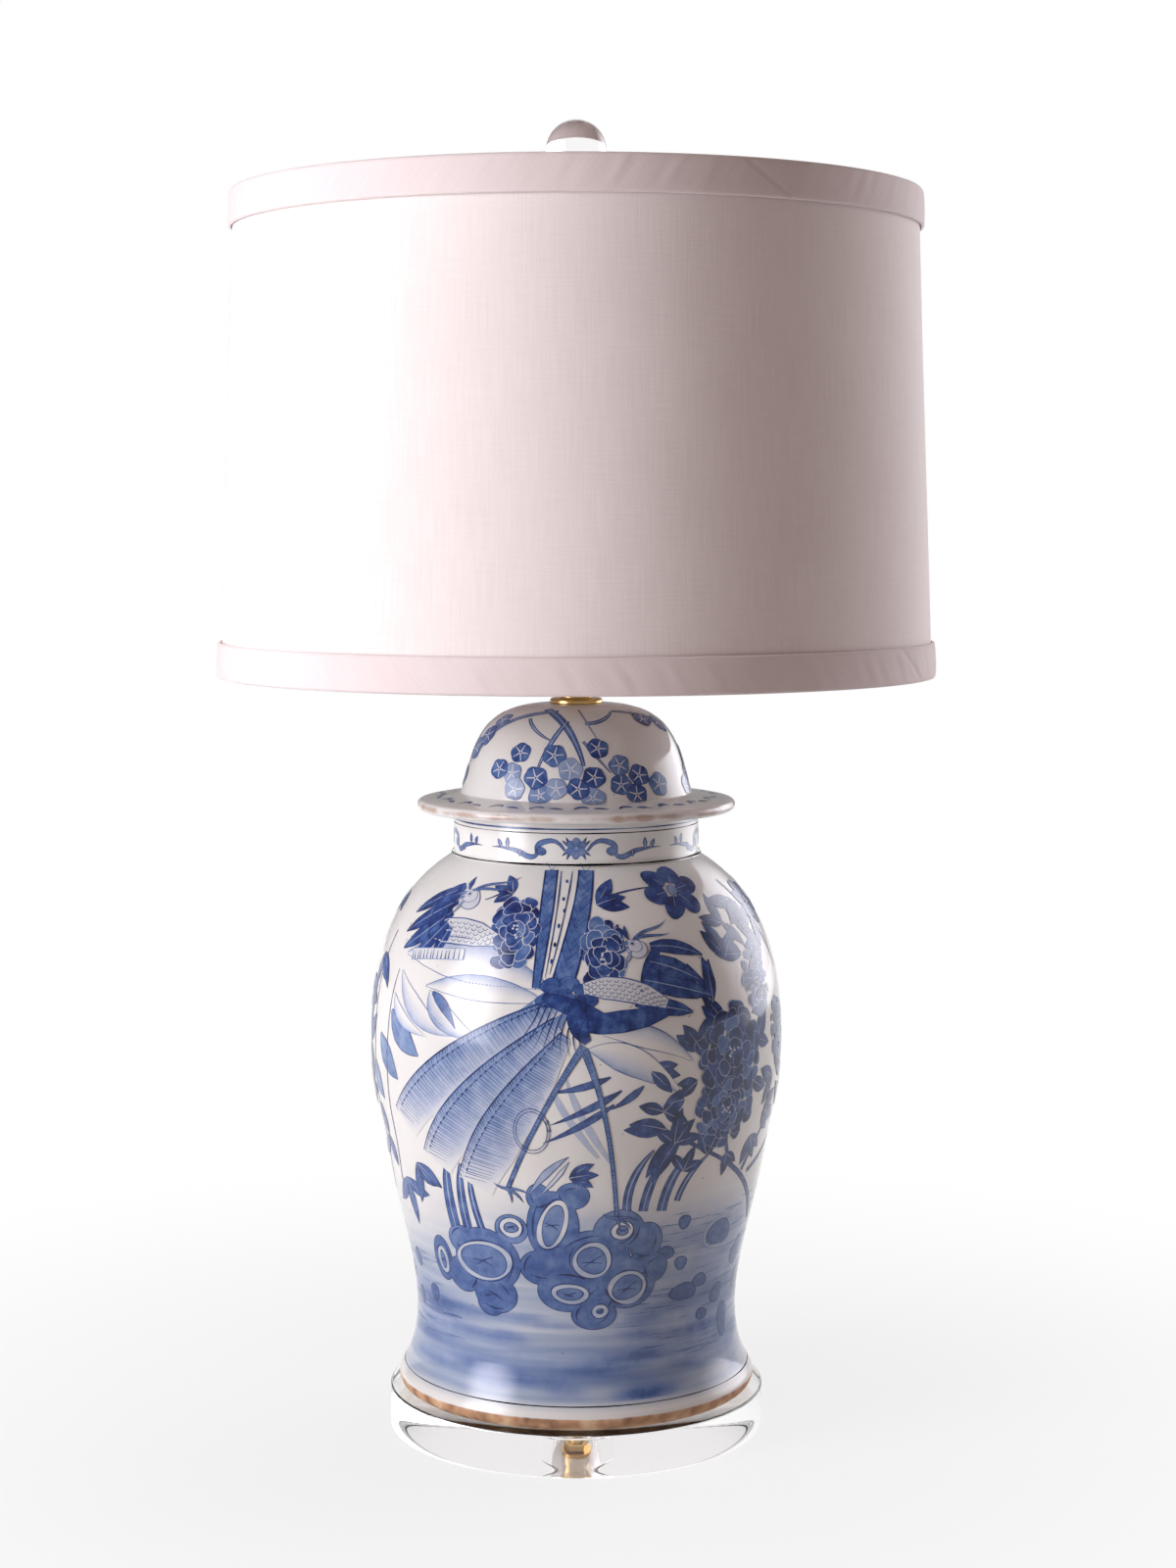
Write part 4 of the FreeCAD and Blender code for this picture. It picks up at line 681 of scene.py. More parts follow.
    def band(self, height, width, tone):
        """A painted line right round the jar, its thickness slowly uneven."""
        turn = np.linspace(0, FULL_TURN, self.BAND_STEPS, endpoint=False)
        half = width / 2 * (1 + 0.3 * np.sin(3 * turn + height) + 0.2 * np.sin(11 * turn))
        reach = np.interp(height, self.height, self.reach) + np.array([[-1], [0], [1]]) * half
        faces, _ = grid_faces(3, self.BAND_STEPS, False, True)
        self.add(np.broadcast_to(turn, reach.shape), reach, tone, faces)

    def finish(self, name, material, body):
        """Makes one mesh of all the patches, with their tones and the outline's own normals."""
        turn, reach, lift, tone = (np.concatenate([patch[part] for patch in self.patches])
                                   for part in range(4))
        starts = np.cumsum([0] + [patch[0].size for patch in self.patches])
        faces = [face for part in (4, 5) for patch, start in zip(self.patches, starts)
                 for face in (patch[part] + start).tolist()]
        radius, height, across, up = (np.interp(reach, self.reach, values)
                                      for values in (self.radius, self.height, *self.normal.T))
        outward = np.stack([across * np.sin(turn), -across * np.cos(turn), up], 1)
        points = (np.stack([radius * np.sin(turn), -radius * np.cos(turn), height], 1)
                  + outward * lift[:, None])
        piece = make_piece(name, points, faces, material, body, None, 0)
        piece.data.attributes.new("tone", "FLOAT", "POINT").data.foreach_set("value", tone.astype(np.float32))
        piece.data.normals_split_custom_set_from_vertices(outward.tolist())
        print(name, "has", len(self.patches), "patches and", len(faces), "faces")
        return piece


hand = np.random.default_rng(7)

# %% [markdown]
# ## Cobalt under the glaze
# Cobalt dissolves in the glaze and stains it, so painted porcelain has one surface and two colours: the
# same glass lies over both. The painted finish is therefore the jar's own glaze multiplied by a blue that
# deepens with the tone, and noise makes the paint pool a little darker here and there, as a wet brush does.

# %% Painted glaze
def stain(tree, shader, place, colour):
    """Multiplies a glaze by cobalt, from clear at tone 0 to the deepest blue at tone 1."""
    tone = add_node(tree, "Attribute", attribute_name="tone").outputs["Fac"]
    pool = add_node(tree, "TexNoise", {"Vector": place, "Scale": 120.0, "Detail": 4.0,
                                       "Roughness": 0.6}).outputs[0]
    uneven = add_node(tree, "MapRange", {"Value": pool, "From Min": 0.3, "From Max": 0.7,
                                         "To Min": 0.72, "To Max": 1.14}).outputs[0]
    depth = add_node(tree, "Math", {0: tone, 1: uneven}, operation="MULTIPLY")
    cobalt = add_node(tree, "ValToRGB", {0: depth.outputs[0]})
    ramp_colours(cobalt, [(0.0, "#ffffff"), (0.2, "#ccd6f0"), (0.4, "#93abd9"), (0.6, "#5c7fbf"),
                          (0.8, "#2f4d99"), (1.0, "#17235c")])
    stained = add_node(tree, "Mix", {"Factor": 1.0, "A": colour, "B": cobalt.outputs[0]}, data_type="RGBA",
                       blend_type="MULTIPLY")
    tree.links.new(stained.outputs["Result"], shader.inputs["Base Color"])


print("cobalt stains the glaze from clear at tone 0 to the deepest blue at tone 1")

# %% [markdown]
# ## The motifs
# Each motif is a short function made of the gestures above: a peony is rings of dabs with pale rims, a leaf
# is a stroke that swells and tapers, a rock is a clump of dabs with white-rimmed hollows, and a long
# feather is a wash along a spine with hatching across it.

# %% Flowers and leaves
def toward(angle, distance):
    """An offset in millimetres at an angle in degrees, 0 to the right and 90 upward."""
    return np.array([math.cos(math.radians(angle)), math.sin(math.radians(angle))]) * distance


def leaf(art, base, angle, length, width, bend, tone, rim=0.98, layer=0):
    """A leaf: a stroke that swells and tapers to a point, with a paler midrib."""
    path = [art.near(base, toward(angle + bend * share, length * share)) for share in (0, 0.35, 0.7, 1)]
    art.stroke(path, np.array([0.12, 0.75, 1, 0.9, 0.55, 0.05]) * width, tone, rim, layer=layer)
    art.stroke(path[:3], [0.5, 0.35, 0.1], 0.25, layer=layer + 1)


def leaves(art, base, angles, length, width, tone):
    """A spray of leaves from one stem."""
    for place, angle in enumerate(angles):
        leaf(art, base, angle, length * hand.uniform(0.85, 1.15), width, hand.uniform(-25, 25), tone,
             layer=2 * (place % 2))


def peony(art, place, size, rows, tone=0.93, pale=0.1):
    """A full peony: rings of lobed petals, dark with pale rims, the inner ones over the outer ones; no two
    petals are alike in size, place or depth of colour."""
    wide, tall = np.broadcast_to(size, 2)
    for row, petals in enumerate(rows):
        out = 0.86 * (1 - row / (len(rows) - 0.3))
        first = hand.uniform(0, 360)
        for petal in range(petals):
            angle = first + 360 * petal / petals + hand.uniform(-11, 11)
            offset = toward(angle, 1) * (wide * out, tall * out) * hand.uniform(0.86, 1.06)
            spread = max(wide, tall) * hand.uniform(0.17, 0.28)
            art.dab(art.near(place, offset), (spread, spread * 0.8), tone - hand.choice([0, 0.05, 0.1, 0.28]),
                    pale, angle - 90 + hand.uniform(-25, 25), 3, 0.2, 0.08, hand.uniform(0.3, 0.6),
                    2 * row + petal % 2)
    for _ in range(7):
        art.dab(art.near(place, hand.uniform(-0.16, 0.16, 2) * (wide, tall)), 0.7, 0.08, layer=2 * len(rows))


def blossom(art, place, size):
    """An open flower: six round petals with dark rims about a paler eye."""
    first = hand.uniform(0, 360)
    for petal in range(6):
        angle = first + 60 * petal
        middle = art.near(place, toward(angle, size * 0.62))
        art.dab(middle, (size * 0.42, size * 0.36), 0.84, 1.0, angle, 2, 0.12, 0.06, layer=petal % 2)
        art.stroke([middle, art.near(place, toward(angle, size * 0.2))], [0.3, 0.5], 0.35, layer=3)
    art.dab(place, size * 0.2, 0.45, 0.95, layer=4)


def plum_flower(art, place, size, tone, layer):
    """A small round flower seen from the front, with a pale star of five lines in it."""
    art.dab(place, (size, size * 0.94), tone, min(tone + 0.3, 1.0), 0, 5, 0.12, 0.03, 0.4, layer)
    first = hand.uniform(0, 72)
    for ray in range(5):
        art.stroke([art.near(place, toward(first + 72 * ray, size * share)) for share in (0.08, 0.75)],
                   [0.85, 0.4], 0.08, layer=layer + 1)


print("motifs: leaf, leaves, peony, blossom, plum_flower")

# %% Rocks
ROCK_TONE = 0.6


def rock(art, lumps, hollows):
    """A pierced rock: overlapping lumps with one dark outline, a few contour lines, and hollows with thick
    white rims. The lumps are painted twice, dark and then paler and smaller, so only the outline stays."""
    for place, size in lumps:
        art.dab(place, np.array(size) + 0.5, 0.97, wobble=0.0)
    for place, size in lumps:
        art.dab(place, size, ROCK_TONE + hand.uniform(-0.05, 0.05), wobble=0.0, layer=1)
        for contour in range(2):
            first = hand.uniform(0, 360)
            arc = [art.near(place, toward(angle, 0.84 - 0.2 * contour) * np.array(size))
                   for angle in first + np.array([0, 25, 50, 75])]
            art.stroke(arc, [0.3, 1.6 - 0.6 * contour, 0.3], 0.95, layer=2)
    for place, size, tilt in hollows:
        size = np.array(size, float)
        art.dab(place, size + 0.7, 0.92, None, tilt, wobble=0.03, layer=3)
        art.dab(place, size, 0.02, None, tilt, wobble=0.03, layer=4)
        art.dab(place, size - 2.3, ROCK_TONE - 0.08, 0.98, tilt, wobble=0.05, rim_width=0.7, layer=5)
        for crack in range(2):
            art.stroke([art.near(place, toward(tilt + 20 + 160 * crack, size.min() * 0.6)),
                        art.near(place, hand.uniform(-1.5, 1.5, 2)),
                        art.near(place, toward(tilt - 150 + 120 * crack, size.min() * 0.55))],
                       [0.4, 0.9, 0.3], 0.95, layer=6)


print("motifs: rock, its body at tone", ROCK_TONE)

# %% Feathers
def plume(art, path, width, deep, outline, side, layer=0):
    """A pale pointed form shaded from one edge, with a fine dark outline."""
    shape = np.array([0.04, 0.6, 0.95, 1, 0.8, 0.45, 0.03]) * width / 2
    art.wash(path, -side * shape, side * shape, (deep, deep * 0.45, 0.08, 0.0, 0.0), layer=layer)
    line = art.smooth(path, 2.2, 8)
    half = read_at(line[-1], shape)
    for edge in (-1, 1):
        art.stroke(art.beside(line, edge * half)[::2], [0.3, 0.55, 0.5, 0.2], outline, layer=layer + 1)


def long_feather(art, spine, width, lines):
    """A tail feather: a wash that pales away from its spine and towards its tip, close hatching from the
    spine, and a row of small dark loops beside it."""
    width = np.asarray(width, float)
    art.wash(spine, 0, width, (0.5, 0.46, 0.4, 0.34, 0.28, 0.12), (1, 1, 1, 0.95, 0.75, 0.1))
    art.hatch(spine, width * 0.16, width * 0.86, lines, 0.55, 0.8, -0.25, 1)
    art.hatch(spine, width * 0.02, width * 0.13, lines, 0.7, 0.92, 0.5, 1)
    art.stroke(spine, [0.7, 1.1, 1.0, 0.9, 0.5], 0.95, layer=2)
    line = art.smooth(spine, 2.2, 8)
    loops = art.beside(line, read_at(line[-1], width) * 0.17)
    art.stroke(loops[2:-2:3], 0.35, 0.9, layer=2)
    for place in loops[2:-3:2]:
        art.dab(place, 0.8, 0.9, layer=3)


def scales(art, path, width, rows, count, layer=0):
    """Breast feathers: a pale field with rows of small arcs on it."""
    shape = np.array([0.5, 0.95, 1, 0.9, 0.45]) * width
    art.stroke(path, shape, 0.08, 0.85, 0.45, layer)
    line = art.smooth(path, 2.2, 8)
    for row in range(rows):
        for place in range(count):
            at = (place + 0.5 + 0.5 * (row % 2)) / (count + 0.5)
            spot = [np.interp(at, line[-1], values) for values in line[:5]]
            middle = art.beside(spot, ((row + 0.5) / rows - 0.5) * read_at(at, shape) * 0.8)
            arc = [art.near(middle, toward(angle, width / rows * 0.52)) for angle in (170, 240, 300, 370)]
            art.stroke(arc, 0.42, 0.86, layer=layer + 1)


print("motifs: plume, long_feather, scales")

# %% Birds
def bird(art, head, wing, body, size):
    """A long-tailed bird that looks to the left: a crested head with a hooked bill, dark pointed wing
    feathers and a dark back. The size scales its head."""
    def spot(x, y):
        return art.near(head, (x * size, y * size))

    for place, (path, width) in enumerate(wing):
        art.stroke(path, np.array([0.5, 0.9, 1, 0.75, 0.1]) * width, 0.84, 1.0, layer=place % 2)
        art.hatch(path, -0.36 * width, -0.05 * width, 10, 0.5, 1.0, 0.8, 2)
        art.stroke(path, [0.3, 0.6, 0.2], 0.35, layer=2)
    for path, width in body:
        art.stroke(path, np.array([0.35, 0.85, 1, 0.9, 0.4]) * width, 0.88, 1.0, layer=2)
    art.dab(spot(1.2, -1.6), (5.2 * size, 4.6 * size), 0.12, 0.85, -35, rim_width=0.5, layer=3)
    art.dab(head, (4.2 * size, 3.2 * size), 0.12, 0.85, -20, rim_width=0.4, layer=4)
    for path, width, tone in (([(-2.5, 1.2), (-6.5, 1.4), (-8.5, -1.6)], [1.7, 1.5, 0.15], 0.55),
                              ([(-2.4, -0.6), (-5, -1.2), (-6.8, -3.2)], [1.2, 0.8, 0.1], 0.5),
                              ([(0, 2.5), (5, 9), (14, 6), (18, 12)], [1.1, 1.5, 1.1, 0.1], 0.6),
                              ([(0, 2.5), (5, 6), (14, 3), (19, 5)], [1.1, 1.5, 1.1, 0.1], 0.6),
                              ([(-2, 2.8), (-4, 6), (-3, 10)], [0.6, 2.6, 0.2], 0.85),
                              ([(-1.5, -2.5), (-3, -6), (-4.6, -8.5)], [0.9, 1.8, 0.2], 0.35)):
        art.stroke([spot(*point) for point in path], np.array(width) * size, tone, 0.95, 0.35, 5)
    art.dab(spot(-0.6, 0.9), 1.3 * size, 0.05, 0.85, rim_width=0.3, layer=5)
    art.dab(spot(-0.6, 0.9), 0.7 * size, 0.98, layer=6)


print("motifs: bird")

# %% [markdown]
# ## The garden on the jar
# The picture is a traditional one: two long-tailed birds in a garden of peonies, with pierced rocks by
# water. It is drawn on the front and, mirrored, on the back, so that both meet in foliage at the sides.
# What lies behind is painted first. Places are in degrees and millimetres, so the picture can be moved like
# a sketch.

# %% Washes, water, stones and rocks
WASHES = ((52, 140, 56, 14, 0.24), (58, 116, 60, 14, 0.2), (48, 96, 70, 12, 0.22), (0, 142, 46, 14, 0.2),
          (50, 72, 70, 12, 0.26), (-70, 92, 40, 14, 0.2), (-30, 62, 60, 8, 0.12))


def washes(art):
    """One field of soft washes from side to side: every touch of the brush adds a tone that falls off like a
    bell curve, long round the jar and low. As they add up in one patch, none can hide another's edge."""
    turn, height = np.meshgrid(np.radians(np.linspace(-90, 90, 181)), np.linspace(42, 172, 70), indexing="ij")
    radius = np.interp(height, art.height, art.radius)
    touches = [(hand.uniform(-90, 90), hand.choice([47, 56, 66, 78, 88]) + hand.uniform(-3, 3),
                hand.uniform(8, 26), hand.uniform(2.5, 4.5), hand.uniform(0.12, 0.26)) for _ in range(46)]
    tone = 0 * turn
    for middle, level, run, tall, depth in (*WASHES, *touches):
        away = np.abs((turn - math.radians(middle)) * radius / run)
        tone += depth * np.exp(-away ** 3 - ((height - level) / tall) ** 2)
    faces, _ = grid_faces(*turn.shape)
    art.add(turn, np.interp(height, art.height, art.reach), np.minimum(tone, 0.55), faces, layer=-2)


def water(art):
    """Fine level lines of water on both sides of the rocks, with round stones between them."""
    art.level = 0
    for turns, heights, count in (((20, 86), (62, 152), 120), ((-86, -46), (66, 118), 44)):
        for _ in range(count):
            turn, height = hand.uniform(*turns), hand.uniform(*heights)
            run = hand.uniform(4, 13)
            art.stroke([art.near((turn, height), (-run, hand.uniform(-0.4, 0.4))), (turn, height + 0.3),
                        art.near((turn, height), (run, hand.uniform(-0.4, 0.4)))], [0.15, 0.6, 0.15],
                       hand.uniform(0.4, 0.66))
    art.level = 1
    for place, size in (((35, 146), (5, 4.4)), ((29, 128), (7, 4.6)), ((36, 120), (5, 4.5)),
                        ((39, 101), (10, 6)), ((46, 106), (6, 5)), ((57, 94), (7, 6)), ((63, 76), (7, 10)),
                        ((52, 134), (11, 9)), ((68, 116), (8, 9)), ((74, 96), (6, 7)), ((49, 84), (5, 4)),
                        ((-58, 94), (4.6, 6)), ((-70, 88), (4, 5.5)), ((-68, 112), (5, 6)),
                        ((-80, 100), (6, 5))):
        art.dab(place, size, 0.62, 0.82, hand.uniform(-15, 15), wobble=0.09, rim_width=0.9)
    for place, size, tone in (((50, 134), (15, 12), 0.35), ((50, 134), (14, 11), 0.08)):
        art.stroke([art.near(place, toward(angle, 1) * size) for angle in (60, 120, 180, 240, 300)], 0.8,
                   tone, layer=1)


def rocks(art):
    """Two groups of pierced rocks in front of the water."""
    art.level = 3
    rock(art, [((-11, 122), (13, 11)), ((5, 128), (22, 18)), ((-3, 108), (17, 13)), ((17, 111), (17, 15)),
               ((6, 93), (13, 9)), ((13, 145), (15, 13)), ((22, 137), (10, 12)), ((-7, 148), (15, 22)),
               ((-11, 166), (7, 8)), ((-1, 167), (9.5, 8)), ((26, 120), (8, 9)), ((21.5, 123), (10, 8)),
               ((7.5, 103), (10, 9))],
         [((-7, 149), (8, 16.5), -18), ((5, 127), (11, 11.5), 10), ((-2, 106), (10.5, 6.4), -6),
          ((17, 109), (11.5, 10.5), 15), ((14, 145), (6.4, 5.6), 0), ((8, 95), (4.6, 4.2), 0)])
    rock(art, [((-30, 124), (22, 20)), ((-28, 103), (14, 12)), ((-20, 145), (10, 9)), ((-49, 119), (8, 14)),
               ((-30, 97), (9, 8)), ((-40, 112), (12, 11)), ((-38, 134), (11, 9))],
         [((-31, 123), (19, 12.5), 2), ((-20, 146), (7, 6), 0), ((-49, 118), (4.6, 8.5), 6)])


print("behind everything:", len(WASHES), "placed washes, then water and rocks")

# %% Stems, branches and foliage
def stems(art):
    """Thick dark stems behind the rocks, thin branches, and the blades that cross under the bird."""
    art.level = 2
    for path, width in (([(-40, 140), (-42, 164), (-40, 184)], 8),
                        ([(-35, 140), (-37, 166), (-35, 182)], 6.5),
                        ([(-30, 143), (-33, 164), (-32, 176)], 5), ([(15, 156), (14, 176), (22, 193)], 5.5),
                        ([(20, 156), (21, 178), (29, 194)], 6), ([(26, 155), (27, 176), (35, 190)], 6.5),
                        ([(31, 160), (33, 176), (41, 186)], 4.5)):
        art.stroke(path, np.array([1, 1, 0.85, 0.3]) * width, 0.74, 0.95)
        art.stroke(path, [0.6, 0.9, 0.4], 0.3, layer=1)
    for path, width in (([(74, 134), (64, 164), (50, 178), (37, 191)], 4),
                        ([(58, 170), (66, 190), (74, 204)], 2.6),
                        ([(50, 178), (46, 196), (45, 214)], 2.8), ([(38, 190), (31, 198), (22, 203)], 2.6),
                        ([(62, 168), (76, 176), (88, 190)], 3),
                        ([(-66, 160), (-63, 214), (-64, 262), (-60, 290)], 1),
                        ([(-78, 150), (-72, 200), (-76, 260), (-70, 310)], 1.6),
                        ([(-24, 343), (-28, 336), (-33, 334)], 1.4), ([(8, 336), (20, 341), (30, 341)], 1.5),
                        ([(50, 322), (60, 306), (66, 284)], 2), ([(66, 340), (74, 316), (80, 286)], 2.4)):
        art.stroke(path, np.array([1, 0.85, 0.5]) * width, 0.85, 1.0, 0.35, layer=2)
    for path in ([(9, 238), (2, 231), (-7, 229)], [(12, 230), (4, 219), (-7, 210)],
                 [(10, 222), (2, 209), (-9, 199)], [(18, 232), (14, 224), (9, 219)]):
        art.stroke(path, [1.2, 4.6, 4.4, 2.6, 0.3], 0.84, 1.0, layer=1)
    for path in ([(-8, 238), (-4, 216), (6, 190)], [(-3, 240), (0, 214), (10, 186)]):
        art.stroke(path, [1, 4, 4.4, 2], 0.24)


def foliage(art):
    """Sprays of pointed leaves; most are dark, and some by the left edge are larger and paler."""
    art.level = 4
    for base, angles, length, width, tone in (
            ((-23, 338), (100, 158, 196), 14, 7, 0.86), ((7, 333), (62, 30, 2), 20, 9, 0.88),
            ((10, 306), (64, 84), 20, 7, 0.84), ((35, 250), (158, 122, 84), 20, 9, 0.92),
            ((25, 205), (176, 158), 24, 10, 0.92), ((30, 201), (214, 232), 30, 10, 0.92),
            ((-2, 178), (48, 18, -4), 16, 6.5, 0.84), ((40, 276), (110, 84, 140), 26, 9, 0.92),
            ((48, 300), (96, 60, 130), 24, 9, 0.9), ((62, 312), (110, 70, 30), 22, 9, 0.9),
            ((66, 204), (20, -30, -70), 22, 10, 0.9), ((60, 190), (-20, -60, -100), 18, 8, 0.88),
            ((34, 232), (190, 216), 15, 7, 0.9), ((48, 184), (-30, -70), 15, 7, 0.88),
            ((78, 240), (60, 20, -30, 100), 24, 10, 0.9),
            ((44, 262), (150, 176, 120), 22, 10, 0.95), ((52, 318), (120, 160, -40), 20, 8, 0.9),
            ((66, 268), (170, 200, 140), 22, 9, 0.92), ((70, 222), (180, 150, 210), 22, 9, 0.92),
            ((30, 222), (200, 176), 16, 8, 0.9), ((58, 250), (30, 60, -20), 20, 9, 0.92),
            ((56, 300), (150, 176), 22, 9, 0.92), ((20, 240), (-10, -40, 20), 19, 8, 0.95),
            ((28, 196), (60, 100, 140, 20), 20, 8, 0.95), ((40, 186), (80, 50, 120), 18, 8, 0.95),
            ((32, 178), (70, 110, 30), 17, 7, 0.95), ((24, 216), (-30, 30, 160), 17, 8, 0.95),
            ((70, 300), (150, 200, 120, 60), 24, 10, 0.95), ((64, 330), (-60, -110, 200), 22, 10, 0.92),
            ((56, 226), (200, 160, -40), 22, 10, 0.98), ((74, 226), (40, -20, 90), 22, 10, 0.95),
            ((82, 200), (70, 110, 30), 24, 10, 0.88),
            ((-54, 176), (-52, -80, -20), 24, 9, 0.74), ((-62, 164), (-74, -110, -40), 26, 9, 0.72),
            ((-72, 186), (-60, -120, 80), 22, 9, 0.76), ((-74, 296), (-70, -30, -110), 24, 9, 0.8),
            ((-80, 240), (60, 100, -60, -110), 24, 9, 0.8), ((-84, 330), (-60, -100), 18, 8, 0.82)):
        leaves(art, base, angles, length, width, tone)
    for base, angle, length, width in (((-61, 266), -58, 38, 17), ((-68, 250), -66, 34, 15),
                                       ((-74, 232), -80, 26, 12)):
        leaf(art, base, angle, length, width, 20, 0.5, 0.92)
    art.stroke([(-14, 166), (-9, 182), (-2, 191)], [0.3, 3, 5, 3.6, 0.3], 0.34, 0.88, layer=1)
    art.stroke([(-11, 166), (-5, 178), (-2, 188)], [0.3, 2.4, 3, 0.3], 0.12, 0.8, layer=2)


print("in the middle: stems and foliage")

# %% Tree and flowers
def tree_trunk(art):
    """A leaning trunk: two bars of bark with a bare strip and broken lines between them."""
    art.level = 6
    for path, width in (([(-10.6, 350.5), (-9, 332), (-10, 312), (-11, 288)], np.array([8, 8.5, 7, 5])),
                        ([(4.2, 350.5), (2.6, 334), (-0.5, 312), (-4.5, 286)],
                         np.array([9, 10.5, 13, 13.5]))):
        art.stroke(path, width, [0.68, 0.6, 0.74, 0.64, 0.78], 0.98, 0.9)
        art.hatch(path, -0.4 * width, 0.1 * width, 12, 1.0, 0.84, 1.6, 1)
        art.hatch(path, -0.1 * width, 0.4 * width, 14, 0.9, 0.86, -1.4, 1)
    for path in ([(-6.4, 350), (-5.6, 336), (-6.8, 318), (-8.6, 294)],
                 [(-1.6, 350), (-2.6, 338), (-4.4, 320), (-7.4, 296)]):
        art.stroke(path, [0.4, 0.9, 0.5, 0.8, 0.3], 0.9, layer=1)
    for turn, height in ((-3.6, 345), (-4.4, 336), (-3.9, 330), (-5.4, 322), (-6.3, 312), (-7, 303)):
        art.dab((turn, height), (0.8, 1.5), 0.9, layer=1)
    for place in ((-7, 290), (-2, 291), (-5, 286), (2, 287), (-3, 282), (3, 281), (-8, 281)):
        art.dab(place, (6.5, 4), 0.76, 0.98, hand.uniform(-20, 20), layer=2)


def flowers(art):
    """Peonies on both sides of the trunk and a great bank of them at the right, with one open blossom."""
    art.level = 5
    for place, size, rows in (((-19, 318), (14, 25), (14, 10, 6, 3)), ((8, 306), (12.5, 23), (13, 9, 5, 2)),
                              ((61, 284), (16, 18), (13, 9, 5)), ((75, 252), (15, 19), (13, 9, 5))):
        peony(art, place, size, rows)
    art.level = 7
    for place, size in (((45, 212), (25, 23)), ((47, 245), (29, 28))):
        peony(art, place, size, (18, 14, 10, 6), 1.0, 0.3)
    art.level = 6
    blossom(art, (37, 338.5), 20)
    blossom(art, (78, 326), 16)
    blossom(art, (-82, 214), 13)
    blossom(art, (-80, 270), 12)


print("in front: tree_trunk and flowers")

# %% The two birds
def left_bird(art):
    """The paler bird behind: most of it is a bare breast and soft wings shaded from below."""
    art.level = 4
    plume(art, [(-58, 300), (-40, 306), (-20, 300), (-6, 287)], 25, 0.5, 0.7, -1)
    plume(art, [(-46, 284), (-32, 289), (-16, 286), (-8, 280)], 15, 0.42, 0.7, -1, 1)
    plume(art, [(-58, 290), (-50, 262), (-34, 258)], 14, 0.36, 0.55, 1)
    plume(art, [(-44, 282), (-42, 266), (-25, 256)], 15, 0.4, 0.6, 1, 1)
    plume(art, [(-60, 276), (-58, 260), (-44, 255)], 9, 0.3, 0.5, 1, 1)
    art.stroke([(-43, 281), (-38, 276), (-34, 262)], [2, 6.5, 7, 4.5, 0.5], 0.66, 0.9, layer=2)
    art.level = 7
    scales(art, [(-50, 314), (-38, 319), (-24, 313)], 17, 5, 10)
    wing = [([(-46, 338), (-55, 332), (-63, 322)], 10), ([(-44, 332), (-54, 322), (-63, 311)], 11),
            ([(-44, 326), (-52, 313), (-61, 302)], 12), ([(-44, 320), (-49, 308), (-54, 299)], 10),
            ([(-42, 318), (-44, 308), (-46, 300)], 8)]
    bird(art, (-40, 335), wing, [([(-45, 340), (-52, 332), (-48, 310)], 15)], 1.45)
    art.stroke([(-55, 300), (-46, 303), (-34, 304)], 7, 0.06, 0.5, 0.3, layer=3)
    art.hatch([(-55, 300), (-46, 303), (-34, 304)], -3, 3, 15, 1.1, 0.75, layer=4)


def right_bird(art):
    """The great bird: dark wing and back, scaled breast, three long hatched feathers and two thin legs."""
    art.level = 4
    plume(art, [(7, 262), (20, 266), (33, 243)], 13, 0.35, 0.8, -1)
    plume(art, [(3, 254), (15, 252), (29, 226)], 17, 0.4, 0.8, 1, 1)
    art.level = 5
    art.stroke([(-3, 286), (-10, 268), (-20, 246)], [16, 26, 30], [0.6, 0.5, 0.35], 0.5)
    art.level = 6
    long_feather(art, [(-5, 283), (-25, 270), (-46, 243), (-60, 208)], [9, 18, 24, 27, 24], 56)
    art.level = 8
    long_feather(art, [(-6, 272), (-22, 251), (-39, 222), (-49, 186)], [9, 18, 25, 28, 24], 58)
    art.level = 10
    long_feather(art, [(-4, 264), (-15, 241), (-28, 214), (-36, 174)], [8, 20, 27, 29, 24], 62)
    art.level = 11
    for path in ([(2, 256), (-8, 224), (-20, 170)], [(2, 254), (9, 218), (12, 153)]):
        art.stroke(path, [5, 3.2, 2.8, 2.8], 0.62, 0.95, 0.5)
        art.hatch(path, -1.2, 1.2, 44, 0.55, 0.9, layer=1)
    for foot in ((-20, 170), (12, 153)):
        for angle, length in ((-12, 13), (-42, 12), (-78, 9), (160, 9)):
            art.stroke([foot, art.near(foot, toward(angle + 18, length * 0.6)),
                        art.near(foot, toward(angle, length))], [2.4, 1.8, 1.2, 0.2], 0.6, 0.95, 0.35, 2)
    for size in (13, 11.2):
        ring = [art.near((-12, 206), toward(angle, size) * (0.86, 1.1)) for angle in range(0, 391, 30)]
        art.stroke(ring, 0.5, 0.85, layer=2)
    art.level = 10
    wing = [([(22, 310), (30, 311), (39, 303)], 9), ([(21, 302), (28, 299), (36, 290)], 12),
            ([(19, 292), (28, 288), (40, 280)], 13), ([(16, 280), (26, 276), (33, 272)], 10)]
    back = [([(24, 309), (19, 292), (21, 274)], 12), ([(26, 274), (12, 268), (-1, 268)], 13),
            ([(8, 272), (-2, 278), (-9, 284)], 10), ([(2, 284), (-2, 272), (3, 258)], 12)]
    bird(art, (17, 311), wing, back, 1.25)
    scales(art, [(2, 288), (13, 291), (25, 278)], 14, 5, 11, 3)
    for line in range(9):
        art.stroke([(-9 + line * 1.6, 284 - line * 1.2), (-10 + line, 270 - line),
                    (-16 + 2.4 * line, 256 - line)], [0.3, 0.8, 0.2], 0.98, layer=2)


print("last of all: left_bird and right_bird")

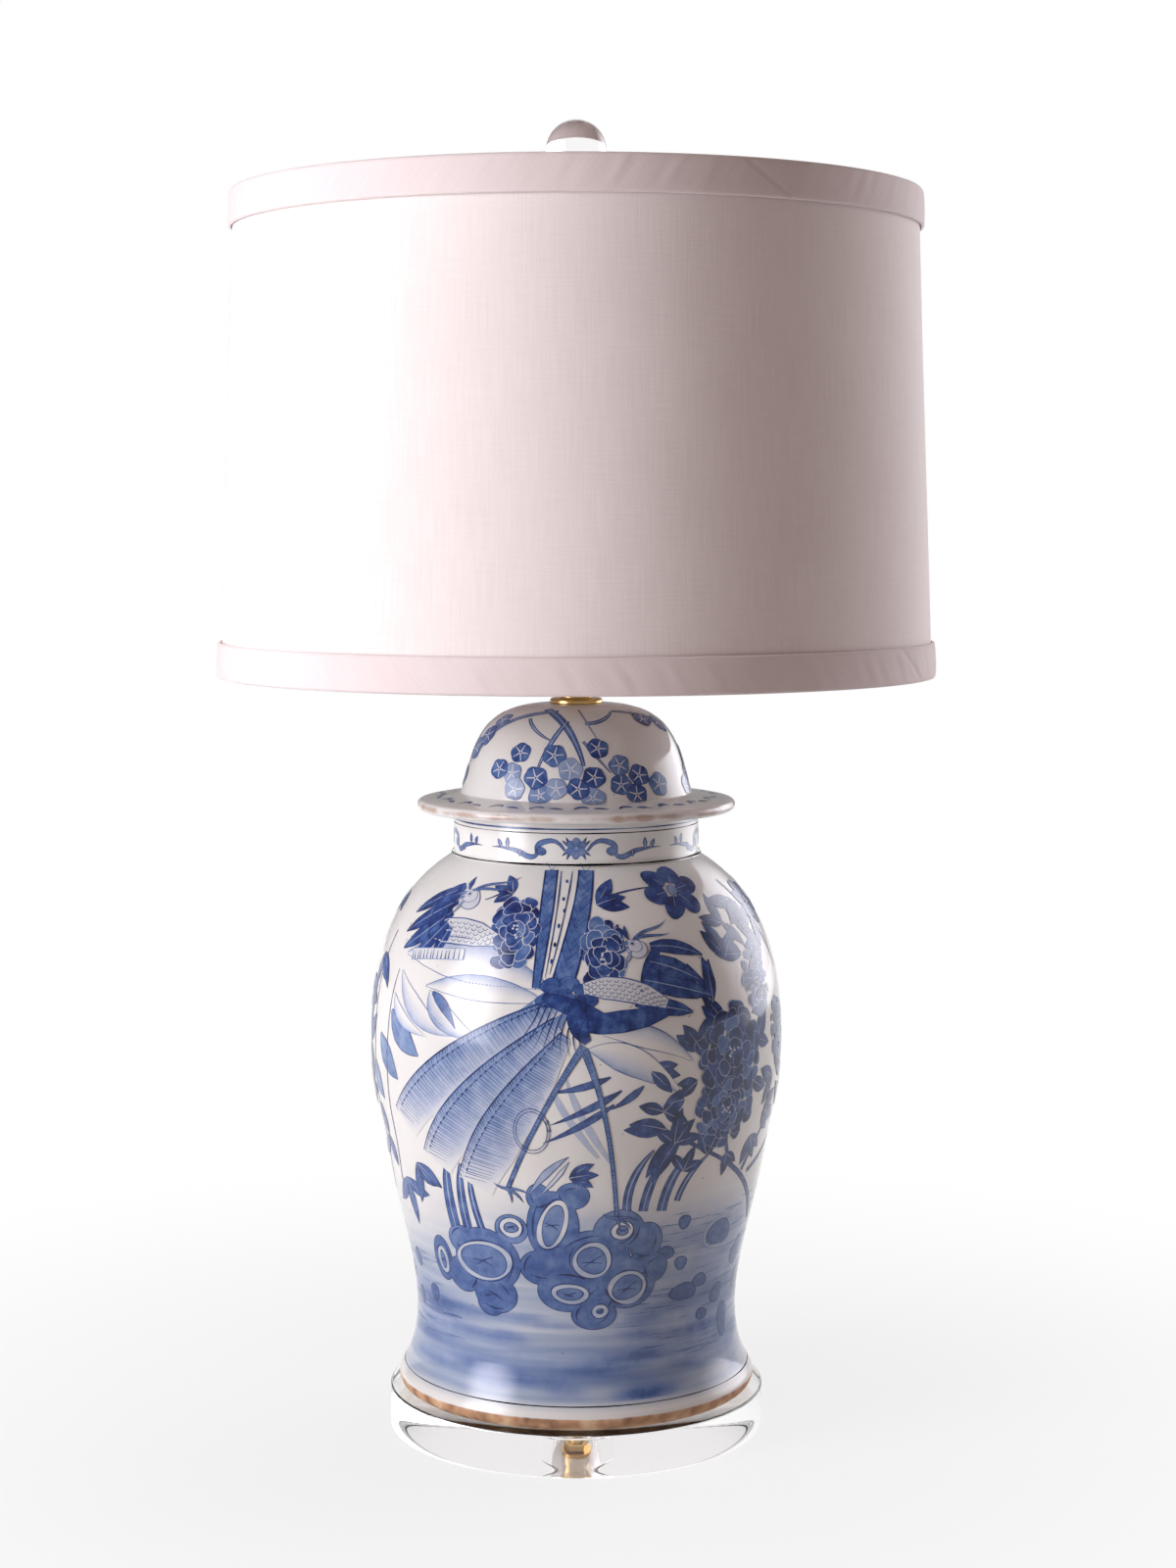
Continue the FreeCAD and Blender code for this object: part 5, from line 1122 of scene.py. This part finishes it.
# %% Paint the jar
jar_outline = np.concatenate([flank, neck_side]) + [0, JAR_FOOT]
jar_paint, tree, shader, place, height, colour = glazed("cobalt_painted_porcelain_jar", *FOOT_BARE)
stain(tree, shader, place, foot_washes(tree, place, height, colour))
for name, facing in (("jar_painting_front", (1, 0)), ("jar_painting_back", (-1, math.pi))):
    art = Painting(jar_outline)
    art.facing = facing
    for paint in (washes, water, stems, rocks, foliage, tree_trunk, flowers, left_bird, right_bird):
        paint(art)
    hand_thrown(art.finish(name, jar_paint, "lamp"))

# %% [markdown]
# ## Neck border
# The neck carries a border between lines: a small flower with leaves, and a scroll to each side of it that
# curls twice. It repeats four times round.

# %% Paint the neck
def neck_unit(art, middle):
    """One flower of the border with its two scrolls."""
    for side in (-1, 1):
        scroll = [(middle + side * turn, height) for turn, height in
                  ((5, 361.5), (8, 368), (14, 367.5), (19, 364), (17, 358.5), (22, 356.5), (27, 361),
                   (32, 361.5), (37, 362.5), (42, 362))]
        art.stroke(scroll, [1.6, 3.0, 3.6, 3.0, 2.4, 3.4, 3.4, 2.8, 1.9, 0.3], 0.7, 0.96, 0.5)
        art.dab((middle + side * 16, 361), (3.2, 2.7), 0.72, 0.98, layer=1)
        for turn, angle, length in ((33, 92, 5.5), (36, 60, 5), (26, -80, 4)):
            base = (middle + side * turn, 362)
            leaf(art, base, angle if side > 0 else 180 - angle, length * 1.2, 3.4, 0, 0.78, layer=1)
        for angle in (38, 62, -38, -66):
            leaf(art, (middle + side * 2, 363), angle if side > 0 else 180 - angle, 7.5, 2, 0, 0.85)
    for petal in range(6):
        art.dab(art.near((middle, 363), toward(60 * petal + 30, 3.6)), (2.9, 2.5), 0.6, 0.95, 60 * petal,
                rim_width=0.4, layer=2 + petal % 2)
    art.dab((middle, 363), 1.8, 0.5, 0.95, rim_width=0.4, layer=4)


neck_art = Painting(jar_outline)
for height, width, tone in ((374.0, 0.9, 0.86), (371.6, 0.5, 0.62), (353.4, 0.9, 0.8), (39.9, 0.55, 0.75)):
    neck_art.band(height, width, tone)
for middle in range(0, 360, 90):
    neck_unit(neck_art, middle)
hand_thrown(neck_art.finish("neck_painting", jar_paint, "lamp"))

# %% [markdown]
# ## Plum branches on the lid
# The dome has branches that hang from its crown with bunches of round plum flowers, some dark and some
# pale. The flange has short touches of leaf round its top.

# %% Paint the lid
PLUM_FLOWERS = ((-32, 417, 0.72), (-12, 416, 0.7), (12, 420, 0.8), (-35, 405, 0.42), (-32, 396, 0.36),
                (-44, 407, 0.74), (-10, 397, 0.4), (-18, 393, 0.52), (-21, 403, 0.8), (-3, 408, 0.38),
                (8, 391.5, 0.42), (1, 397, 0.78), (9, 403.5, 0.84), (23, 410, 0.6), (23, 399, 0.7),
                (34, 404, 0.8), (31, 393, 0.8), (46, 398, 0.66), (-66, 425, 0.7), (-74, 417, 0.6),
                (55, 435, 0.8), (72, 432, 0.8), (-62, 434, 0.6), (82, 402, 0.7), (74, 395, 0.5),
                (86, 412, 0.45), (-84, 400, 0.6))


def plum_branches(art):
    """Branches from the crown, and the flowers at their ends."""
    art.level = 0
    for path, width in (([(-30, 441), (-12, 438), (-1, 430), (4, 410)], 5.5),
                        ([(-16, 440), (-40, 439), (-58, 434), (-68, 418)], 4.5),
                        ([(-6, 435), (-17, 421), (-21, 406)], 3.2),
                        ([(-36, 436), (-26, 428), (-14, 424)], 2.4),
                        ([(2, 441), (8, 432), (13, 424)], 1.2), ([(6, 434), (18, 433), (33, 440)], 3.2),
                        ([(34, 440), (54, 439), (74, 434)], 3.6), ([(4, 424), (10, 416), (18, 406)], 2),
                        ([(-88, 438), (-84, 424), (-80, 408)], 3), ([(88, 440), (84, 424), (80, 408)], 3)):
        art.stroke(path, np.array([0.9, 1, 0.8, 0.4]) * width, 0.66, 0.95)
        art.stroke(path, [0.4, 0.7, 0.3], 0.3, layer=1)
    for place, (turn, height, tone) in enumerate(PLUM_FLOWERS):
        plum_flower(art, (turn, height), hand.uniform(6.8, 7.9), tone, 2 + 2 * (place % 7))
    for turn in range(-84, 90, 18):
        for side in (-1, 1):
            art.stroke([(turn + side, 387), (turn + side * 4, 387.6 - 0.5 * side),
                        (turn + side * 7, 386.6)], [1, 3.6, 3, 0.3], 0.72, 0.95, layer=2)


lid_paint, tree, shader, place, _, colour = glazed("cobalt_painted_porcelain_lid", *LID_BARE)
stain(tree, shader, place, colour)
lid_art = Painting(np.concatenate([slope, dome]) + [0, LID_SEAT])
for facing in ((1, 0), (-1, math.pi)):
    lid_art.facing = facing
    plum_branches(lid_art)
lid_art.finish("lid_painting", lid_paint, "lamp")

# %% [markdown]
# ## Clear acrylic
# The disc is cast acrylic (PMMA) with polished faces, IOR 1.49. Polished means no roughness, and its edges
# are eased just enough not to be sharp. Bevelled CAD facets would show as kinks in every refraction, so the
# disc is turned again with 360 sides. The ball of the finial is the same material. A path tracer without
# caustics would give clear things a black shadow, so these two cast none, and light reaches what stands on
# the disc. The top stops a few hundredths of a millimetre under the jar, because only with air above it
# does it mirror light from inside.

# %% Acrylic disc
acrylic, tree, shader = new_finish("clear_acrylic", Base_Color=linear("#fdfcfc"), IOR=1.49, Roughness=0.0,
                                   Transmission_Weight=1.0)
DISC_RADIUS, DISC_TOP, COUNTERBORE, COUNTERBORE_DEPTH = 114.3, 25.34, 15.5, 12.7
disc_outline = round_corners([(PIPE_HOLE, COUNTERBORE_DEPTH), (COUNTERBORE, COUNTERBORE_DEPTH),
                              (COUNTERBORE, 0), (DISC_RADIUS, 0), (DISC_RADIUS, DISC_TOP),
                              (PIPE_HOLE, DISC_TOP)],
                             [0, 0.3, 0.4, 1.2, 1.2, 0])
disc = turn_profile("disc_clear", disc_outline, acrylic, "lamp", 360, 35)
disc.visible_shadow = False
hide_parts("acrylic_base")
print("disc:", len(disc.data.polygons), "faces")

# %% [markdown]
# ## Brass
# The hardware is turned brass, polished and lacquered. A metal's colour is its reflection colour, so the
# hex value is the warm yellow that brass returns, Metallic is 1 and the IOR stays at its default. Lathe
# marks are rings a few hundredths of a millimetre apart; here they are drawn at 0.25 mm so that they can
# show.

# %% Turned metals
def turned_metal(name, colour, roughness, mark_mm):
    """A lathe-turned metal: fine rings across the axis as bump, and slow stains in its roughness."""
    finish, tree, shader = new_finish(name, Base_Color=linear(colour), Metallic=1.0)
    place = add_node(tree, "TexCoord").outputs["Object"]
    stain = add_node(tree, "TexNoise", {"Vector": place, "Scale": 120.0, "Detail": 3.0}).outputs[0]
    shine = add_node(tree, "MapRange", {"Value": stain, "To Min": roughness * 0.7, "To Max": roughness * 1.5})
    tree.links.new(shine.outputs[0], shader.inputs["Roughness"])
    drawn = add_node(tree, "Mapping", {"Vector": place, "Scale": (20.0, 20.0, 1 / (mark_mm * MM))})
    marks = add_node(tree, "TexNoise", {"Vector": drawn.outputs[0], "Scale": 1.0, "Detail": 1.0}).outputs[0]
    bump = add_node(tree, "Bump", {"Height": marks, "Strength": 0.25, "Distance": 0.00004})
    tree.links.new(bump.outputs[0], shader.inputs["Normal"])
    return finish


brass = turned_metal("lacquered_brass", "#c9a467", 0.2, 0.25)
nickel = turned_metal("nickel_plated_steel", "#b9b6b0", 0.28, 0.3)
aluminium = turned_metal("drawn_aluminium", "#c8c9cb", 0.3, 0.3)
print("metals:", brass.name, nickel.name, aluminium.name)

# %% Threaded pipe
PIPE_RADIUS, PIPE_BORE, PITCH, THREAD_DEPTH = 5.1, 3.7, 0.94, 0.5
THREAD_BELOW, THREAD_ABOVE = 30, 440
PIPE_ROWS, PIPE_AROUND = 1100, 24
pipe_low, pipe_high = (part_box("lamp_pipe")[end].z / MM for end in (0, 1))
row, column = np.meshgrid(np.linspace(0, 1, PIPE_ROWS), np.arange(PIPE_AROUND) / PIPE_AROUND, indexing="ij")
level = pipe_low + (pipe_high - pipe_low) * row
# The thread is a triangle wave of the height, which a whole turn moves on by one pitch.
thread = np.abs((level / PITCH - column) % 1 * 2 - 1)
radius = PIPE_RADIUS - THREAD_DEPTH * thread * ((level < THREAD_BELOW) | (level > THREAD_ABOVE))
outer = around_axis(radius, FULL_TURN * column, level)
bore = outer[[-1, 0]]
bore[..., :2] *= PIPE_BORE / np.hypot(bore[..., :1], bore[..., 1:2])
tube = np.concatenate([outer, bore])
faces, spread = grid_faces(len(tube), PIPE_AROUND, True, True)
pipe = make_piece("pipe_threaded", tube, faces, brass, "lamp", spread, 35)
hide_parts("lamp_pipe")
print("pipe:", len(pipe.data.polygons), "faces")

# %% [markdown]
# ## Turned brass pieces
# The cap on the lid, the neck over it and the finial's base are small lathe work with soft edges and a bead
# or two. They are turned from profiles like the disc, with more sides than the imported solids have.

# %% Cap, neck and finial base
CAP_SEAT = LID_SEAT + LID_HEIGHT
cap_outline = round_corners([(5.25, 0), (15.8, 0), (15.8, 2.0), (14.9, 3), (10, 3.05), (9.9, 6), (5.25, 6)],
                            [0, 0.4, 0.5, 0.4, 0.6, 0.5, 0]) + [0, CAP_SEAT]
cap = turn_profile("cap_turned", cap_outline, brass, "lamp", 96, 35)
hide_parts("vase_cap")

neck_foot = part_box("brass_neck")[0].z / MM
neck_outline = round_corners([(5.25, 0), (9.5, 0), (9.5, 3), (7.5, 4.2), (7.3, 6.5), (7.3, 23.5), (7.5, 25.8),
                              (9.5, 27), (9.5, 30), (5.25, 30)], [0, 0.5, 0.8, 0.8, 1, 1, 0.8, 0.8, 0.5, 0])
neck_piece = turn_profile("neck_turned", neck_outline + [0, neck_foot], brass, "lamp", 72, 35)
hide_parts("brass_neck")

finial_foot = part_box("finial_base")[0].z / MM
base_outline = round_corners([(3.26, 0), (7, 0), (7, 4), (5.6, 5.2), (4.7, 8), (4.7, 12.5), (5.4, 15.6),
                              (6.5, 16.5), (6.5, 19), (2.3, 19), (2.3, 31), (0, 31), (0, 11), (3.26, 11)],
                             [0, 0.6, 0.9, 1.5, 2, 2, 1.2, 0.4, 0.4, 0.2, 0.3, 0, 0, 0])
finial_base = turn_profile("finial_base_turned", base_outline + [0, finial_foot], brass, "finial", 72, 35)
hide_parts("finial_base")
print("turned brass:", sum(len(piece.data.polygons) for piece in (cap, neck_piece, finial_base)), "faces")

# %% [markdown]
# ## The clear ball
# A ball with a flat ground on it and a hole up the middle for the stem. Everything seen in it is
# refraction, so the sphere itself has to be round: 96 sides and 48 rows.

# %% Ball
BALL, FLAT, STEM_HOLE, STEM_DEPTH = 18, 0.7, 2.42, 12.1
ball_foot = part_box("finial_ball")[0].z / MM
rise = np.linspace(math.asin(-(BALL - FLAT) / BALL), math.pi / 2, 48)
sphere = np.stack([BALL * np.cos(rise), BALL - FLAT + BALL * np.sin(rise)], 1)
ball_outline = np.concatenate([[(STEM_HOLE, 0)], sphere[:-1],
                               [(0, 2 * BALL - FLAT), (0, STEM_DEPTH), (STEM_HOLE, STEM_DEPTH)]])
ball = turn_profile("ball_clear", ball_outline + [0, ball_foot], acrylic, "finial", 96, 40)
ball.visible_shadow = False
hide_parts("finial_ball")
print("ball:", len(ball.data.polygons), "faces")

# %% [markdown]
# ## Linen on the drum
# The drum is slubbed linen-blend cloth on a stiff white backing. Its threads are about half a millimetre
# apart, and the warp's thicker slubs run up the shade. A thread follows the cloth and not the room, so the
# weave reads the piece's own map, scaled to real millimetres: one unit of it is the way round and one the
# way up. Threads finer than a pixel are left to the bump, and the slubs are drawn at their own 0.5 to 2 mm.

# %% Cloth finishes
def linen(name, colour, shadow, around_mm, up_mm, slub, lean=0.0):
    """Woven cloth: fine warp and weft in the bump, long slubs in colour and bump, and a soft sheen."""
    finish, tree, shader = new_finish(name, Roughness=0.85, Sheen_Weight=0.25, Sheen_Roughness=0.5)
    shader.inputs["Specular IOR Level"].default_value = 0.25
    spread = add_node(tree, "UVMap", uv_map="Spread").outputs[0]
    cloth = add_node(tree, "Mapping", {"Vector": spread, "Scale": (around_mm, up_mm, 1.0),
                                       "Rotation": (0, 0, lean)}).outputs[0]
    long_slubs = add_node(tree, "Mapping", {"Vector": cloth, "Scale": (0.9, 0.028, 1.0)})
    slubs = add_node(tree, "TexNoise", {"Vector": long_slubs.outputs[0], "Scale": 1.0, "Detail": 2.0,
                                        "Roughness": 0.6}).outputs[0]
    short_slubs = add_node(tree, "Mapping", {"Vector": cloth, "Scale": (0.05, 0.8, 1.0)})
    weft = add_node(tree, "TexNoise", {"Vector": short_slubs.outputs[0], "Scale": 1.0,
                                       "Detail": 2.0}).outputs[0]
    warp_waves = add_node(tree, "TexWave", {"Vector": cloth, "Scale": 0.32, "Distortion": 0.6},
                          bands_direction="X").outputs[1]
    threads = add_node(tree, "Math", {0: slubs, 1: 0.7, 2: weft}, operation="MULTIPLY_ADD").outputs[0]
    relief = add_node(tree, "Math", {0: warp_waves, 1: 0.25, 2: threads}, operation="MULTIPLY_ADD").outputs[0]
    place = add_node(tree, "TexCoord").outputs["Object"]
    cloud = add_node(tree, "TexNoise", {"Vector": place, "Scale": 8.0, "Detail": 3.0}).outputs[0]
    tint = add_node(tree, "Math", {0: slubs, 1: slub, 2: 0.5 - slub / 2}, operation="MULTIPLY_ADD").outputs[0]
    tint = add_node(tree, "Math", {0: weft, 1: slub * 0.4, 2: tint}, operation="MULTIPLY_ADD").outputs[0]
    tint = add_node(tree, "Math", {0: cloud, 1: 0.5, 2: tint}, operation="MULTIPLY_ADD").outputs[0]
    dye = add_node(tree, "ValToRGB", {0: tint})
    ramp_colours(dye, [(0.55, shadow), (1.0, colour)])
    bump = add_node(tree, "Bump", {"Height": relief, "Strength": 0.35, "Distance": 0.00025})
    tree.links.new(dye.outputs[0], shader.inputs["Base Color"])
    tree.links.new(bump.outputs[0], shader.inputs["Normal"])
    return finish


drum_linen = linen("slubbed_linen_drum", "#f9f2f0", "#ebe1df", 1335, 285, 0.5)
trim_linen = linen("bias_cut_linen_trim", "#f1e7e7", "#e0d3d3", 1350, 60, 0.25, math.radians(45))
print("cloths:", drum_linen.name, trim_linen.name)

# %% [markdown]
# ## Drum and bias trims
# The drum is rolled from one flat strip and glued with a lap at the back, so it is a thin closed wall with
# a small step there. Each edge is bound by a strip cut on the bias, folded over the wire ring and pulled
# round. Cloth pulled round a curve gathers, so the trim's radius has small slanted folds, and its ends meet
# in a diagonal join, which shows near the right edge of the lower trim.

# %% Drum
SHADE_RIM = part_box("top_trim")[1].z / MM
SHADE_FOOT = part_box("bottom_trim")[0].z / MM
TOP_RADIUS, MIDDLE_RADIUS, BOTTOM_RADIUS, CLOTH = 202.9, 208, 213.4, 1.1
LAP_AT, LAP_WIDTH, LAP_STEP = math.pi / 2, 12, 0.5
DRUM_AROUND, DRUM_ROWS, DRUM_SHORT, DRUM_INSET = 480, 24, 1.6, 0.45


def shade_radius(level):
    """Outside radius of the drum at a height: a straight line from the lower edge to the upper one."""
    return BOTTOM_RADIUS + (TOP_RADIUS - BOTTOM_RADIUS) * (level - SHADE_FOOT) / (SHADE_RIM - SHADE_FOOT)


def away_from(turn, middle):
    """Millimetres along the cloth from a place to each angle, halfway up the shade."""
    return ((turn - middle + math.pi) % FULL_TURN - math.pi) * MIDDLE_RADIUS


# The lap is a step of half a millimetre with short ramps, and the slack is two slow waves round the drum.
turn = np.linspace(0, FULL_TURN, DRUM_AROUND, endpoint=False)
lap = np.clip(1.5 - np.abs(away_from(turn, LAP_AT)) / LAP_WIDTH * 2, 0, LAP_STEP)
level, angle = np.meshgrid(np.linspace(SHADE_FOOT + DRUM_SHORT, SHADE_RIM - DRUM_SHORT, DRUM_ROWS), turn,
                           indexing="ij")
slack = 0.18 * np.sin(3 * angle + level / 60) + 0.12 * np.sin(7 * angle - level / 90)
outside = shade_radius(level) - DRUM_INSET + slack + lap
radius, level = np.concatenate([outside, outside[::-1] - CLOTH]), np.concatenate([level, level[::-1]])
faces, spread = grid_faces(len(radius), DRUM_AROUND, True, True)
drum = make_piece("drum_linen", around_axis(radius, turn, level), faces, drum_linen, "shade", spread * [1, 2],
                  50)
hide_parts("shade_drum")
print("drum:", len(drum.data.polygons), "faces")

# %% Bias trims
TRIM_DROP, TRIM_INSET, TRIM_ROWS, TRIM_AROUND = 21.0, 0.15, 60, 720
TRIM_SECTION = np.array([(0.35, TRIM_DROP), (0.9, TRIM_DROP + 0.1), (1.9, TRIM_DROP - 0.5),
                         (2.15, TRIM_DROP * 0.75), (2.2, TRIM_DROP * 0.5), (2.15, TRIM_DROP * 0.25),
                         (1.9, 1.0), (1.2, 0.15), (-0.5, 0.0), (-2.8, 0.1), (-4.6, 0.35), (-6.1, 1.2),
                         (-6.2, 3.0), (-6.15, 6.5), (-6.05, 10.6), (-5.3, 10.7), (-5.05, 9.8), (-5.05, 2.0),
                         (-4.2, 1.4), (-0.4, 1.4), (0.25, 1.7), (0.3, 2.6)])


def bind_edge(name, level, side, join_at):
    """A bias strip folded over the upper edge (side 1) or the lower one (side -1): its section is a flattened
    loop of radius and height, carried round the drum. The outer side swells in gathers that slant by 0.6 of
    their height, and the join is a slanted groove shaped like a bell curve."""
    loop = np.concatenate([TRIM_SECTION, TRIM_SECTION[:1]])
    along = np.concatenate([[0], np.cumsum(np.hypot(*np.diff(loop, axis=0).T))])
    at = np.linspace(0, along[-1], TRIM_ROWS, endpoint=False)
    out, down = (np.interp(at, along, values)[:, None] for values in loop.T)
    turn = np.linspace(0, FULL_TURN, TRIM_AROUND, endpoint=False)
    height = level - side * down
    outer = np.clip((out - 0.5) / 1.5, 0, 1)
    slant = turn * MIDDLE_RADIUS + down * 0.6
    gathers = (0.5 * np.sin(slant / 2.9 + 1.7 * np.sin(slant / 23))
               + 0.35 * np.sin(slant / 1.7 + 2 * np.sin(slant / 41)) + 0.4 * np.sin(slant / 9.7))
    gathers = gathers * (0.35 + 0.65 * np.abs(np.sin(down / TRIM_DROP * math.pi + 0.35)))
    groove = np.exp(-((away_from(turn, join_at) - side * (down - TRIM_DROP / 2) * 1.5) / 1.3) ** 2)
    swell = 0.16 * gathers * outer - 0.8 * groove * outer
    radius = shade_radius(height) + TRIM_INSET + out + np.minimum(swell, 0.28)
    faces, spread = grid_faces(TRIM_ROWS, TRIM_AROUND, True, True)
    if side < 0:
        faces, spread = faces[:, ::-1], spread.reshape(-1, 4, 2)[:, ::-1].reshape(-1, 2)
    return make_piece(name, around_axis(radius, turn, height), faces, trim_linen, "shade", spread, 60)


trim_top = bind_edge("trim_top_linen", SHADE_RIM, 1, math.radians(-60))
trim_bottom = bind_edge("trim_bottom_linen", SHADE_FOOT, -1, math.radians(-27))
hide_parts("top_trim")
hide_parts("bottom_trim")
print("trims:", len(trim_top.data.polygons) + len(trim_bottom.data.polygons), "faces")

# %% [markdown]
# ## The bulb
# The bulb is seen only from above or below the shade. Its globe is inside-frosted soda glass: light comes
# out of the whole of it, so it looks like a white skin with a faint gloss, and a plain white body with a
# thin coat shows the same at rest.

# %% Bulb
frosted, tree, shader = new_finish("inside_frosted_glass", Roughness=0.35, IOR=1.5, Coat_Weight=0.6,
                                   Coat_Roughness=0.05, Subsurface_Weight=0.2)
place = add_node(tree, "TexCoord").outputs["Object"]
frost = add_node(tree, "TexNoise", {"Vector": place, "Scale": 60.0, "Detail": 3.0}).outputs[0]
white = add_node(tree, "ValToRGB", {0: frost})
ramp_colours(white, [(0.35, "#ebe9e4"), (0.7, "#f5f3ef")])
tree.links.new(white.outputs[0], shader.inputs["Base Color"])
GLOBE, GLASS, GLOBE_MIDDLE, STEM = 30, 1, 77, 12
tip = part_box("bulb_contact")[0].z / MM


def globe_wall(inset):
    """One wall of the globe from its stem to its top, this far inside the outer one."""
    crown = np.linspace(0, math.pi / 2, 26)
    wide = GLOBE - inset
    side = spline_points([(STEM - inset, 28.1), (STEM - inset, 44.1), (wide, 52), (wide, GLOBE_MIDDLE)], 30)
    top = np.stack([wide * np.cos(crown), GLOBE_MIDDLE + wide * np.sin(crown)], 1)
    return np.concatenate([[(STEM - inset, 22.1)], side, top[1:-1], [(0, GLOBE_MIDDLE + wide)]])


globe_outline = np.concatenate([globe_wall(0), globe_wall(GLASS)[::-1]])
globe = turn_profile("bulb_frosted", globe_outline + [0, tip], frosted, "bulb", 72, 50)
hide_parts("bulb_globe")
print("globe:", len(globe.data.polygons), "faces")

# %% [markdown]
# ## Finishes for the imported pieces
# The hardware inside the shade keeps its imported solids, because their shapes are already right. Each one
# only needs the finish of what it is made from: brass sheet, nickel-plated wire, bakelite, vulcanised
# fibre, rubber.

# %% Moulded finishes
def moulded(name, colour, dark, roughness, scale):
    """A moulded or pressed material: cloudy colour, fine grain in its bump."""
    finish, tree, shader = new_finish(name, Roughness=roughness)
    place = add_node(tree, "TexCoord").outputs["Object"]
    cloud = add_node(tree, "TexNoise", {"Vector": place, "Scale": scale, "Detail": 4.0}).outputs[0]
    dye = add_node(tree, "ValToRGB", {0: cloud})
    ramp_colours(dye, [(0.3, dark), (0.7, colour)])
    grain = add_node(tree, "TexNoise", {"Vector": place, "Scale": scale * 12}).outputs[0]
    bump = add_node(tree, "Bump", {"Height": grain, "Strength": 0.3, "Distance": 0.00005})
    tree.links.new(dye.outputs[0], shader.inputs["Base Color"])
    tree.links.new(bump.outputs[0], shader.inputs["Normal"])
    return finish


bakelite = moulded("black_bakelite", "#1c1a19", "#121110", 0.25, 80.0)
fibre = moulded("vulcanised_fibre", "#8c7a63", "#6e5d49", 0.8, 150.0)
rubber = moulded("soft_rubber", "#2c2b2b", "#1f1e1e", 0.6, 120.0)
solder = turned_metal("tin_solder", "#a5a6a8", 0.4, 0.6)
print("moulded:", bakelite.name, fibre.name, rubber.name)

# %% Which piece has which finish
FINISH_OF = {
    brass: ("base_washer", "base_nut", "socket_cap", "socket_shell", "screw_shell", "spring_contact",
            "harp_stud", "ferrule_left", "ferrule_right", "switch_shaft", "cap_set_screw"),
    nickel: ("harp_saddle", "harp_bow", "spider", "top_ring", "bottom_ring"),
    aluminium: ("bulb_screw_cap",),
    bakelite: ("switch_body", "switch_knob"),
    fibre: ("socket_liner",),
    rubber: ("cord_grommet",),
    solder: ("bulb_contact",),
}
for finish, names in FINISH_OF.items():
    for name in names:
        for finish_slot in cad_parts[name].material_slots:
            finish_slot.material = finish
print("packed pieces given a finish:", sum(map(len, FINISH_OF.values())))
